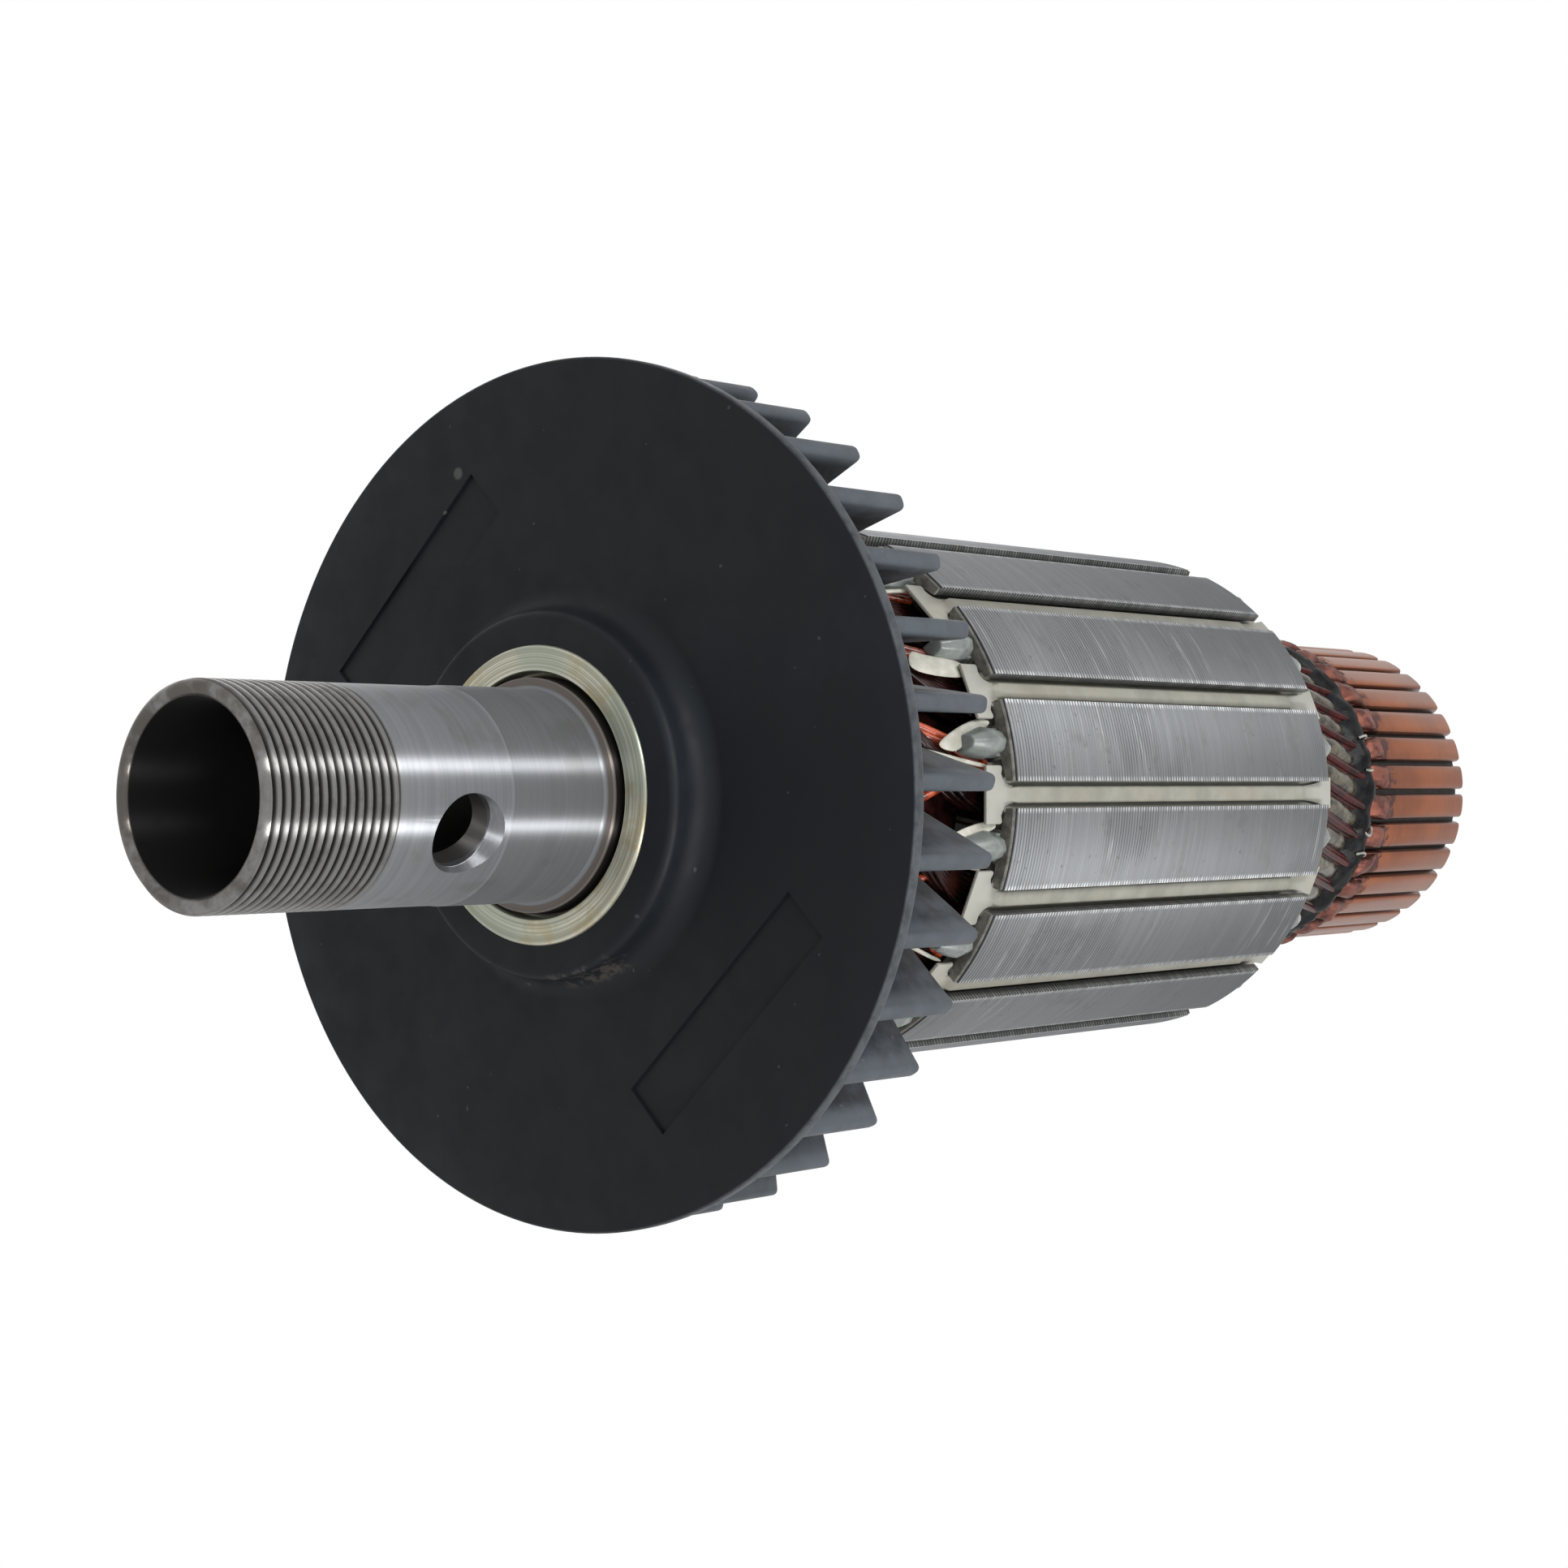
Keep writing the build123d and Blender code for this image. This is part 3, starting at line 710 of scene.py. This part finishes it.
# %% Drill the lock hole
hole_x, hole_angle, hole_radius = -10.95, 199.3, 3.5
lock_way = Vector((0, cos(radians(hole_angle)), sin(radians(hole_angle))))
lock_turn = lock_way.to_track_quat("Z", "Y").to_euler()
bpy.ops.object.select_all(action="DESELECT")
bpy.ops.mesh.primitive_cylinder_add(
    vertices=64, radius=hole_radius * MM, depth=10 * MM,
    location=Vector((hole_x, 0, 0)) * MM + lock_way * 9 * MM, rotation=lock_turn,
)
cut_with(spindle, settle("lock_drill"))
bpy.ops.object.select_all(action="DESELECT")
bpy.ops.mesh.primitive_cone_add(
    vertices=64, radius1=3.3 * MM, radius2=4.9 * MM, depth=2.2 * MM,
    location=Vector((hole_x + 0.15, 0, -0.25)) * MM + lock_way * 9.6 * MM, rotation=lock_turn,
)
cut_with(spindle, settle("lock_countersink"))
smooth(spindle, 30)
edit(spindle, "DESELECT")
bpy.ops.mesh.select_mode(type="EDGE")
bpy.ops.mesh.select_non_manifold()
print("open edges on the spindle:", sum(edge.select for edge in bmesh.from_edit_mesh(spindle.data).edges))
done()
finished(spindle, spindle_steel, "spindle_steel", "spindle_shaft")

# %% [markdown]
# The fan is one black plastic moulding. Its disc is turned from a profile with real round corners,
# because the soft sheen on the foot of the boss is what one notices. The profile runs from the hub's
# rear over the front to the rear of the disc and closes on itself.

# %% Turn the fan's disc
boss_front, disc_front, disc_rear, hub_rear_x = 7.0, 11.0, 12.4, 20.2
bush_radius, boss_radius, rim_radius = 14.1, 17.4, 41.4
fan_profile = (
    [(hub_rear_x, bush_radius), (boss_front, bush_radius), (boss_front, boss_radius - 0.8)]
    + arc(boss_front + 0.8, boss_radius - 0.8, 0.8, 180, 90, 6)
    + arc(disc_front - 2.4, boss_radius + 2.4, 2.4, 270, 360, 12)
    + [(disc_front, 24.0), (disc_front, 30.0), (disc_front, 36.0)]
    + arc(disc_front + 0.25, rim_radius - 0.25, 0.25, 180, 90, 3)
    + arc(disc_rear - 0.35, rim_radius - 0.35, 0.35, 90, 0, 3)
    + [(disc_rear, 17.8), (disc_rear + 1.1, 16.7), (hub_rear_x, 16.7), (hub_rear_x, bush_radius)]
)
fan_disc = turned("fan_disc", fan_profile, 192)

# %% [markdown]
# Two shallow strips are sunk in the disc's front. Each is a block taken out of the plastic.

# %% Sink the two strips
strip_from_axis, strip_size = 28.1, (0.7, 5.6, 26.6)
for side in (45, 225):
    middle = (disc_front, strip_from_axis * cos(radians(side)), strip_from_axis * sin(radians(side)))
    cut_with(fan_disc, block("strip_block", middle, strip_size, side))

# %% [markdown]
# One blade is a leaning plate with a thick round outer edge. It starts as a cube whose inner rear
# corners are pulled to where the real blade ends. Its outer and rear edges are bevelled wide, and the
# blade is then turned about its tip and copied all round.

# %% Shape one blade and copy it
blade_tip, blade_depth, blade_chord, blade_thickness, blade_lean, blade_count = 40.8, 12.1, 14.5, 1.7, 20, 36
blade_middle = (disc_rear - 0.4 + blade_depth / 2, 0, blade_tip - blade_chord / 2)
blade = block("blade", blade_middle, (blade_depth, blade_thickness, blade_chord))
pull(blade, lambda place: place.x > 20 and place.z < 30, -1.2, 0, 3.5)
round_edges(blade, 0.62, 4, 40)
edit(blade)
bpy.ops.transform.rotate(value=radians(-blade_lean), orient_axis="X", center_override=(0, 0, blade_tip * MM))
done()
fan_blades = ring_of(blade, blade_count, "fan_blades", start=8.5)
cooling_fan = join([fan_disc, fan_blades], "fan")
smooth(cooling_fan, 35)
finished(cooling_fan, fan_plastic, "fan_plastic", "cooling_fan")

# %% [markdown]
# The metal bush in the fan's hub is a plain turned ring. Its small round corners and the narrow gap to
# the shaft's shoulder are what show.

# %% Turn the bush
bush = turned(
    "bush",
    [(6.7, 11.7)] + arc(7.0, 13.8, 0.3, 180, 90, 4)
    + [(20.2, 14.1), (20.2, 11.32), (8.6, 11.32), (8.5, 11.56), (6.84, 11.56), (6.7, 11.7)],
    128,
)
smooth(bush, 30)
finished(bush, bush_coat, "bush_zinc", "fan_bush")

# %% [markdown]
# The core and the fibre plates on its ends are rings with the same sixteen slots. One slot is a prism;
# its copies all round are joined, and the Boolean modifier takes them out of a turned ring.

# %% Cut the slots of the core and of its end plates
slot_outline = [(1.449, 16.0), (3.5, 26.3), (1.35, 26.9), (1.35, 29.5)]
slot_outline += [(-y, z) for y, z in reversed(slot_outline)]


def slotted_ring(name, reach, hole, front, rear, corner):
    """A turned ring with the sixteen open slots cut through it"""
    profile = [(front, hole), (front, reach - corner), (front + corner, reach), (rear - corner, reach)]
    ring = turned(name, profile + [(rear, reach - corner), (rear, hole), (front, hole)], 320)
    tools = ring_of(prism("slot_tool", slot_outline, front - 1, rear + 1), slot_count, "slot_tools")
    cut_with(ring, tools)
    smooth(ring, 25)
    return ring


core = slotted_ring("core", core_radius, 8.6, core_front, core_rear, 0.06)
finished(core, core_steel, "core_steel", "lamination_core")
front_plate = slotted_ring("front_plate", core_radius - 0.15, 8.7, core_front - 0.5, core_front - 0.06, 0.1)
finished(front_plate, fibre, "fibre", "front_end_plate")
rear_plate = slotted_ring("rear_plate", core_radius - 0.15, 8.7, core_rear + 0.06, core_rear + 0.5, 0.1)
finished(rear_plate, fibre, "fibre", "rear_end_plate")

# %% [markdown]
# A paper liner lies in every slot and a pale wedge closes it. In front of the core the wedge ends in a
# thin T. It is drawn from above as one outline with round inner corners, so that the T grows out of the
# stem smoothly, and the outline is extruded to a film. A bar with sloping ends makes the stem thicker
# where it fills the slot's opening.

# %% Shape one slot's liner and wedge
stem, tee, tee_front, tee_rear = 0.86, 2.9, 42.5, 45.2
wedge_plan = [(tee_front, 0.0), (tee_front, tee)]
wedge_plan += [(tee_rear - 0.2, tee), (tee_rear, tee - 0.25), (tee_rear - 0.15, stem + 1.2)]
wedge_plan += [(tee_rear + 0.1, stem + 0.75), (tee_rear + 0.5, stem + 0.38), (tee_rear + 1.2, stem + 0.12)]
wedge_plan += [(tee_rear + 2.2, stem), (105.0, stem), (106.8, stem + 0.12), (108.3, stem + 0.32)]
wedge_plan += [(109.6, stem + 0.6), (111.5, stem + 0.95), (111.5, 0.0)]
wedge_face = wedge_plan + [(x, -y) for x, y in reversed(wedge_plan[1:-1])]
film = slab("film", [(x, y, 26.3) for x, y in wedge_face], (0, 0, 0.4))
round_edges(film, 0.12, 2, 50)
stem_middle = 76.0
stem_bar = block("stem_bar", (stem_middle, 0, 26.7), (60.4, 2 * stem, 1.0))
for side in (-1, 1):
    pull(stem_bar, lambda place: place.z > 27 and side * (place.x - stem_middle) > 0, -side * 1.6, 0, 0)
round_edges(stem_bar, 0.3, 3, 20)
wedge_section = [(3.26, 25.15), (3.44, 26.25), (-3.44, 26.25), (-3.26, 25.15)]
wedge_plate = prism("wedge_plate", wedge_section, core_front, 110.6)
foot, mouth, under, over, wall = 1.45, 3.2, 16.05, 25.1, 0.35
liner_outline = [(mouth, over), (foot, under), (-foot, under), (-mouth, over), (wall - mouth, over)]
liner_outline += [(wall - foot, under + wall), (foot - wall, under + wall), (mouth - wall, over)]
liner = prism("liner", liner_outline, 44.8, 109.7)
slot_piece = join([film, stem_bar, wedge_plate, liner], "slot_piece")
slot_wedges = ring_of(slot_piece, slot_count, "slot_wedges", start=90.0)
smooth(slot_wedges, 40)
finished(slot_wedges, slot_paper, "slot_paper", *[f"slot_insulation_{k + 1:02d}" for k in range(slot_count)])

# %% [markdown]
# The end insulators are moulded in a milky green-grey plastic. Each tooth carries a finger that keeps
# the coils back. A finger starts as a cube with a divided outer face. Its middle is pulled up to a
# ridge and its far end is drawn in, and wide bevels make it the soft lump that one sees between the
# T's.


# %% Mould the end insulators
def insulator(name, base, outward, reach, low, top):
    """A ring of spokes with one rounded finger on each tooth, pointing away from the core"""
    middle_x = base + outward * reach / 2
    finger = block("finger", (middle_x, 0, (low + top) / 2), (reach, 3.2, top - low))
    edit(finger)
    bpy.ops.mesh.subdivide(number_cuts=1)
    done()
    edit(finger)
    pick(finger, lambda place: place.z > top - 0.2 and abs(place.x - middle_x) < 0.1)
    bpy.ops.transform.translate(value=(-outward * reach * 0.12 * MM, 0, 0))
    pick(finger, lambda place: place.z > top - 0.2 and abs(place.y) > 1)
    bpy.ops.transform.resize(value=(1, 0.7, 1))
    bpy.ops.transform.translate(value=(0, 0, -0.5 * MM))
    root = Vector((0, 0, low + 0.4)) * MM
    pick(finger, lambda place: outward * (place.x - base) > reach * 0.95)
    bpy.ops.transform.resize(value=(1, 0.5, 0.7), center_override=root)
    pick(finger, lambda place: outward * (place.x - base) < reach * 0.05)
    bpy.ops.transform.resize(value=(1, 0.8, 0.9), center_override=root)
    done()
    round_edges(finger, 0.22, 3, 20)
    spoke = block("spoke", (base + outward * 0.35, 0, 18.0), (0.7, 2.8, 17.0))
    arms = ring_of(join([finger, spoke], "arm"), slot_count, name, start=90 + 180 / slot_count)
    face = base + outward * 0.7
    ring = turned("insulator_ring", [(base, 9.0), (face, 9.0), (face, 15.0), (base, 15.0), (base, 9.0)], 64)
    moulding = join([arms, ring], name)
    smooth(moulding, 50)
    return moulding


front_insulator = insulator("front_insulator", core_front - 0.55, -1, 4.7, 24.6, 27.95)
finished(front_insulator, finger_plastic, "pale_plastic", "front_end_insulator")
rear_insulator = insulator("rear_insulator", core_rear + 0.5, 1, 3.4, 24.6, 27.7)
finished(rear_insulator, finger_plastic, "pale_plastic", "rear_end_insulator")

# %% [markdown]
# Strips of the slot paper stick out at the front and cross in a V before each finger. A strip is the
# face between two bent lines, its upper and its lower edge. Bridge Edge Loops makes that face,
# Solidify gives it thickness, and Subdivision rounds it.


# %% Fold the paper strips
def strip(name, edges, low_reach, high_reach):
    """A strip of paper between two lines of (x, degrees from the finger), sinking to the front"""
    front, rear = min(x for line in edges for x, turn in line), max(x for line in edges for x, turn in line)
    lines = []
    for line in edges:
        reach = [low_reach + (high_reach - low_reach) * (x - front) / (rear - front) for x, turn in line]
        lines.append(chain(name, way([(x, r, turn) for (x, turn), r in zip(line, reach)])))
    paper = join(lines, name)
    edit(paper)
    bpy.ops.mesh.bridge_edge_loops()
    done()
    shape_with(paper, "SOLIDIFY", thickness=0.4 * MM, offset=0)
    shape_with(paper, "SUBSURF", levels=2)
    return paper


wide_strip = strip(
    "wide_strip",
    [[(44.3, -6.15), (41.0, -4.35), (38.6, -1.75), (37.3, 0.25)],
     [(45.7, -4.25), (43.3, -2.45), (41.2, 0.45), (39.8, 2.35)]],
    24.6, 26.4,
)
narrow_strip = strip(
    "narrow_strip",
    [[(35.5, 0.05), (38.1, 1.65), (40.9, 3.4), (43.9, 4.8)],
     [(35.5, 1.25), (38.1, 2.75), (40.9, 4.5), (43.9, 6.0)]],
    24.0, 26.3,
)
broad_strip = strip(
    "broad_strip",
    [[(44.3, 4.55), (42.1, 2.15), (39.3, 0.75), (38.4, -1.55)],
     [(44.0, 8.25), (40.6, 7.25), (37.5, 5.05), (37.0, 2.55)]],
    24.6, 26.45,
)
fold = join([wide_strip, narrow_strip], "fold")
slot_pitch = 360 / slot_count
folds = [copy_of(fold, f"fold_{k}", (k + 0.5) * slot_pitch) for k in range(slot_count) if k % 4 != 2]
folds += [copy_of(broad_strip, f"broad_{k}", (k + 0.5) * slot_pitch) for k in range(2, slot_count, 4)]
bpy.data.objects.remove(fold)
bpy.data.objects.remove(broad_strip)
paper_strips = join(folds, "paper_strips")
smooth(paper_strips, 60)
finished(paper_strips, white_paper, "slot_paper")

# %% [markdown]
# The winding is hundreds of enamelled wires. What shows at the front is the outer skin of the coil
# heads: bundles that leave a slot, lean over and sink under their neighbours in dark resin, and their
# near-black colour is partly painted shade. A few wires are drawn as lines and given a round section; the
# bundle is then copied to every slot. A turned body in the same dark colour fills the room under them.

# %% Turn the coil bodies
body = turned(
    "coil_body",
    [(29.6, 8.7), (29.4, 15.0), (30.2, 18.0), (33.0, 20.6), (38.0, 21.2), (44.7, 21.6), (44.7, 15.5)]
    + [(109.8, 15.5), (109.8, 21.2), (114.7, 20.2), (121.0, 17.6), (128.3, 16.9), (133.3, 16.5)]
    + [(133.3, 8.7), (29.6, 8.7)],
    64,
)
fill = prism("slot_fill", [(1.0, 16.5), (2.7, 24.9), (-2.7, 24.9), (-1.0, 16.5)], 44.7, 109.8)
fills = ring_of(fill, slot_count, "slot_fills", start=90.0)
coil_body = join([body, fills], "coil_body")
smooth(coil_body, 35)

# %% [markdown]
# Each bundle is one set of curved wires. They start in a slot's mouth, lean to one side as they run
# forward, and sink towards the shaft where the next coils lie over them. A few wires that cross on top of
# each bundle are a piece of their own, in a lighter copy of the enamel that is painted as lit, while the
# rest is painted in shade.

# %% Lay the front coil heads
strands = []
for row in range(3):
    for side in range(7):
        spread = (side - 3) / 3
        points = []
        for k in range(13):
            share = k / 12
            x = 45.6 - (14.2 + 0.5 * row) * min(1.0, share * 1.25) + 1.2 * sin(pi * share) * spread
            radius = 24.4 - 0.75 * row - (2.2 + 0.6 * row) * share + 0.3 * sin(pi * share)
            turn = spread * 4.6 * (1 - 0.4 * share) - 14 * share - 46 * share**3
            points.append((x, radius, turn))
        strands.append(wire(f"strand_{row}_{side}", way(points), 0.4))
bundle = join(strands, "bundle")
front_heads = ring_of(bundle, slot_count, "front_heads", start=90.0)
smooth(front_heads, 60)

crossing = []
for shift, lean, rise in ((-5.6, 1.3, 0.1), (-7.2, 1.3, 0.2), (16.0, 1.5, -1.8), (-6.2, -1.2, -2.0)):
    heights = [25.0 + rise - 0.16 * k - 0.02 * k * k for k in range(10)]
    points = [(44.6 - 1.1 * k, height, shift - lean * 1.1 * k) for k, height in enumerate(heights)]
    crossing.append(wire("crossing", way(points), 0.42, 4))
bright_wires = ring_of(join(crossing, "crossing"), slot_count, "bright_wires", start=90.0)
smooth(bright_wires, 60)
finished(bright_wires, lit_enamel, "enamelled_wire")

# %% [markdown]
# At the rear every bar of the commutator gets its wires. They run slanting over the neck, in the
# valleys between swellings of amber resin. A swelling is a thick wire whose ends dip under; clouds
# that push it in and out make it a lump.

# %% Lay the rear leads and their resin
bar_count, lead_front, lead_length, lead_skew = 32, 111.5, 22.5, 19.0
bar_pitch = 360 / bar_count
leads = []
for offset, lift in ((-1.3, 0.1), (1.3, 0.0), (0.0, 0.5)):
    points = []
    for k in range(11):
        share = k / 10
        reach = 21.4 - 6.2 * share + 3.2 * share * share + lift
        turn = bar_pitch / 2 - lead_skew * (1 - share) + offset
        points.append((lead_front + lead_length * share, reach, turn))
    leads.append(wire("lead", way(points), 0.54))
lead = join(leads, "lead")
rear_leads = ring_of(lead, bar_count, "rear_leads", start=-90.0)
smooth(rear_leads, 60)
finished(rear_leads, lead_enamel, "enamelled_wire")
winding = join([coil_body, front_heads], "winding")
finished(winding, enamel_in_resin_and_shade, "enamelled_wire", "armature_winding")

cloud = bpy.data.textures.new("resin_cloud", "CLOUDS")
cloud.noise_scale = 2.2 * MM
swellings = []
for kind in range(4):
    long, thick = 13.8 + 0.6 * sin(2.3 * kind), 1.32 + 0.1 * cos(1.7 * kind)
    points = []
    for k in range(13):
        share = k / 12
        x = 119.0 + 0.5 * sin(kind) + long * share
        turn = -lead_skew * (lead_front + lead_length - x) / lead_length + 0.4 * sin(1.9 * kind)
        points.append((x, 17.0 + 1.35 * sin(pi * share) ** 0.5, turn))
    swelling = wire("swelling", way(points), thick, 6)
    swellings += [copy_of(swelling, "swelling", -90 + bar_pitch * k) for k in range(kind, bar_count, 4)]
    bpy.data.objects.remove(swelling)
amber_resin = join(swellings, "amber_resin")
shape_with(amber_resin, "DISPLACE", texture=cloud, strength=0.5 * MM, mid_level=0.5)
smooth(amber_resin, 60)
finished(amber_resin, bulge_resin, "resin")

# %% [markdown]
# Next to the hooks the leads are bedded in black resin, which was brushed on and is uneven. A turned
# band is pushed in and out by the same clouds, stronger.

# %% Brush on the black resin band
black_band = turned(
    "black_band",
    [(130.8, 16.4), (130.8, 17.3), (131.3, 18.0), (131.9, 18.6), (132.6, 19.0), (133.4, 19.3), (134.1, 19.6)]
    + [(134.8, 19.8), (135.3, 19.7), (135.8, 19.3), (136.2, 18.8), (136.2, 17.3), (133.3, 16.9)]
    + [(133.3, 16.4), (130.8, 16.4)],
    192,
)
shape_with(black_band, "DISPLACE", texture=cloud, strength=1.3 * MM, mid_level=0.5)
smooth(black_band, 60)
finished(black_band, black_resin, "resin", "lead_resin")

# %% [markdown]
# A few ends of pale binding thread stick out of the resin. Each is one short, thin, curled line.

# %% Curl the ends of the binding thread
thread_ends = []
for number, turn in enumerate((18, 70, 82, 104, 113, 168, 232, 301)):
    curl = 0.5 + 1.7 * sin(2.6 * number + 1.0)
    points = []
    for k in range(9):
        share = k / 8
        x = 133.9 + (1.5 + 0.6 * cos(1.7 * number)) * share
        points.append((x, 19.6 + 0.6 * sin(pi * share), turn + curl * sin(1.3 * pi * share)))
    thread_ends.append(wire("thread_end", way(points), 0.16))
thread_ends = join(thread_ends, "thread_ends")
smooth(thread_ends, 60)
finished(thread_ends, thread_cotton, "fibre")

# %% [markdown]
# A commutator bar is a wedge of copper whose top was turned true, so that it is a little round and its
# edges are soft. One bar is a prism; its rear edge gets a bevel. Its hook is a lump of copper that was
# folded over the wires and welded. Four hooks of slightly different shape are copied in turn, because
# no two look alike.

# %% Shape the commutator bars and their hooks
bar_root, bar_top, hook_front, bar_rear = 16.6, 19.1, 133.3, 161.3
half_bar = [(1.255, bar_root), (1.49, 18.62), (1.42, 18.86), (1.2, 19.0), (0.7, 19.08), (0.25, bar_top)]
bar = prism("bar", half_bar + [(-y, z) for y, z in reversed(half_bar)], hook_front + 1.0, bar_rear)
edit(bar)
pick(bar, lambda place: place.x > bar_rear - 0.1 and place.z > bar_root + 1)
bpy.ops.mesh.bevel(offset=0.4 * MM, segments=3)
done()
first_bar = -90 + bar_pitch / 2
bars = ring_of(bar, bar_count, "bars", start=first_bar)

hooks = []
for kind in range(4):
    sway, nod = sin(2.1 * kind + 0.6), cos(1.3 * kind)
    middle = Vector((hook_front + 4.4, 0.12 * sway, 18.7))
    hook = block("hook", middle, (5.6 + 0.7 * sway, 2.9 + 0.2 * nod, 2.8))
    edit(hook)
    bpy.ops.mesh.subdivide(number_cuts=2)
    done()
    sink = -0.5 - 0.3 * nod
    pull(hook, lambda place: place.z > 19.8 and place.x < hook_front + 2.6, 0.3, 0.3 * sway, sink)
    pull(hook, lambda place: place.z > 19.8 and place.x > hook_front + 6.2, 0.4, 0, -1.1)
    for side in (1, -1):
        drop = -0.25 - 0.3 * side * nod
        pull(hook, lambda place: place.z > 19.5 and side * place.y > 1, 0, -0.2 * side, drop)
    edit(hook)
    bpy.ops.transform.rotate(value=radians(7 * sway), orient_axis="Z", center_override=middle * MM)
    done()
    shape_with(hook, "SUBSURF", levels=2)
    hooks += [copy_of(hook, "hook", first_bar + bar_pitch * k) for k in range(kind, bar_count, 4)]
    bpy.data.objects.remove(hook)
hooks = join(hooks, "hooks")
shape_with(hooks, "DISPLACE", texture=cloud, strength=0.6 * MM, mid_level=0.5)
commutator = join([bars, hooks], "bars_and_hooks")
smooth(commutator, 40)
finished(commutator, bar_copper, "bar_copper", *[f"commutator_bar_{k + 1:02d}" for k in range(bar_count)])

# %% [markdown]
# The moulded body carries the bars. It is turned, with a collar at the rear. A dark strip stands between
# every two bars and stays a little below their tops; one block is copied all round.

# %% Turn the commutator's body and the insulating sleeve
fit_radius = shaft_radius + 0.02
hub = turned(
    "hub",
    [(hook_front, fit_radius), (hook_front, bar_root - 0.3), (hook_front + 1.0, bar_root - 0.02)]
    + [(bar_rear - 0.3, bar_root - 0.02), (bar_rear, bar_root - 0.3), (bar_rear, 13.4)]
    + arc(bar_rear + 0.9, 13.2, 0.3, 90, 0, 4)
    + [(bar_rear + 1.2, fit_radius + 0.28), (bar_rear + 0.9, fit_radius), (hook_front, fit_radius)],
    96,
)
strips = ring_of(block("strip", (147.8, 0, 17.2), (26.8, 0.72, 1.4)), bar_count, "strips", start=-90.0)
hub = join([hub, strips], "hub")
smooth(hub, 30)
finished(hub, hub_moulding, "moulded_resin", "commutator_hub")

sleeve_front, sleeve_rear, sleeve_radius = 26.0, 133.2, 8.6
sleeve = turned(
    "sleeve",
    [(sleeve_front, fit_radius)] + arc(sleeve_front + 0.25, sleeve_radius - 0.25, 0.25, 180, 90, 3)
    + [(sleeve_rear, sleeve_radius), (sleeve_rear, fit_radius), (sleeve_front, fit_radius)],
    96,
)
smooth(sleeve, 30)
finished(sleeve, sleeve_plastic, "sleeve_plastic", "shaft_insulation")

# %% [markdown]
# The light is a plain soft studio. The world and the floor are white for the camera and for
# reflections only, so that the white background adds no light to the object.

# %% World and floor
scene = bpy.context.scene
scene.view_settings.view_transform = "Standard"


def white_for_camera(tree, out, plain, lit):
    """Mix a plain shader with white where the camera or a reflection sees it"""
    light_path = add_node(tree, "ShaderNodeLightPath", {}).outputs
    seen = maths(tree, "MAXIMUM", light_path["Is Camera Ray"], light_path["Is Glossy Ray"])
    seen = maths(tree, "MAXIMUM", seen, light_path["Is Transmission Ray"])
    chosen = add_node(tree, "ShaderNodeMixShader", {0: seen, 1: plain, 2: lit}).outputs[0]
    tree.links.new(chosen, out.inputs["Surface"])


white = {"Color": (1, 1, 1, 1), "Strength": 1.0}
world = bpy.data.worlds.new("studio")
scene.world = world
world.use_nodes = True
studio = world.node_tree
studio_light = studio.nodes["Background"]
feed(studio, studio_light, {"Color": (0.95, 0.97, 1.0, 1), "Strength": 0.32})
studio_white = add_node(studio, "ShaderNodeBackground", white)
white_for_camera(studio, studio.nodes["World Output"], studio_light.outputs[0], studio_white.outputs[0])

bpy.ops.object.select_all(action="DESELECT")
bpy.ops.mesh.primitive_plane_add(size=6, location=(0, 0, -0.85))
floor = settle("floor")
floor_paint, tree, floor_shader, place = new_material("pale_floor")
feed(tree, floor_shader, {"Base Color": hue("e4e4e2"), "Roughness": 0.8})
floor_white = add_node(tree, "ShaderNodeEmission", white)
white_for_camera(tree, tree.nodes["Material Output"], floor_shader.outputs[0], floor_white.outputs[0])
floor.data.materials.append(floor_paint)


# %% [markdown]
# Two long lamps, above and below the camera, draw the two bright lines along the spindle. A weak one
# lights the far side. The camera stands where it stood for the photo; its place, direction and lens
# were fitted to the fan's rim, the thread and the core.

# %% Lamps and camera
def soft_lamp(name, place, width, height, power):
    """A flat area lamp that points at the middle of the armature"""
    lamp = bpy.data.lights.new(name, "AREA")
    lamp.shape = "RECTANGLE"
    lamp.size, lamp.size_y = width, height
    lamp.energy = power
    holder = bpy.data.objects.new(name, lamp)
    scene.collection.objects.link(holder)
    holder.location = Vector(place)
    holder.rotation_mode = "QUATERNION"
    holder.rotation_quaternion = (Vector((0.06, 0, 0)) - Vector(place)).to_track_quat("-Z", "Y")


soft_lamp("key_lamp", (-0.1, -0.95, 0.5), 1.0, 0.18, 8.5)
soft_lamp("low_lamp", (-0.1, -0.95, -0.5), 1.0, 0.15, 9.5)
soft_lamp("back_lamp", (0.5, 0.8, 0.5), 1.0, 1.0, 4)

camera = bpy.data.cameras.new("photo_camera")
camera.lens = 67.49
camera.clip_start = 0.01
camera_holder = bpy.data.objects.new("photo_camera", camera)
scene.collection.objects.link(camera_holder)
camera_holder.location = Vector((-192.2, -191.6, 1.25)) * MM
camera_holder.rotation_mode = "QUATERNION"
camera_holder.rotation_quaternion = Vector((0.7767, 0.6298, -0.0007)).to_track_quat("-Z", "Y")
scene.camera = camera_holder
print("camera is", round(camera_holder.location.length, 3), "m from the bearing seat")
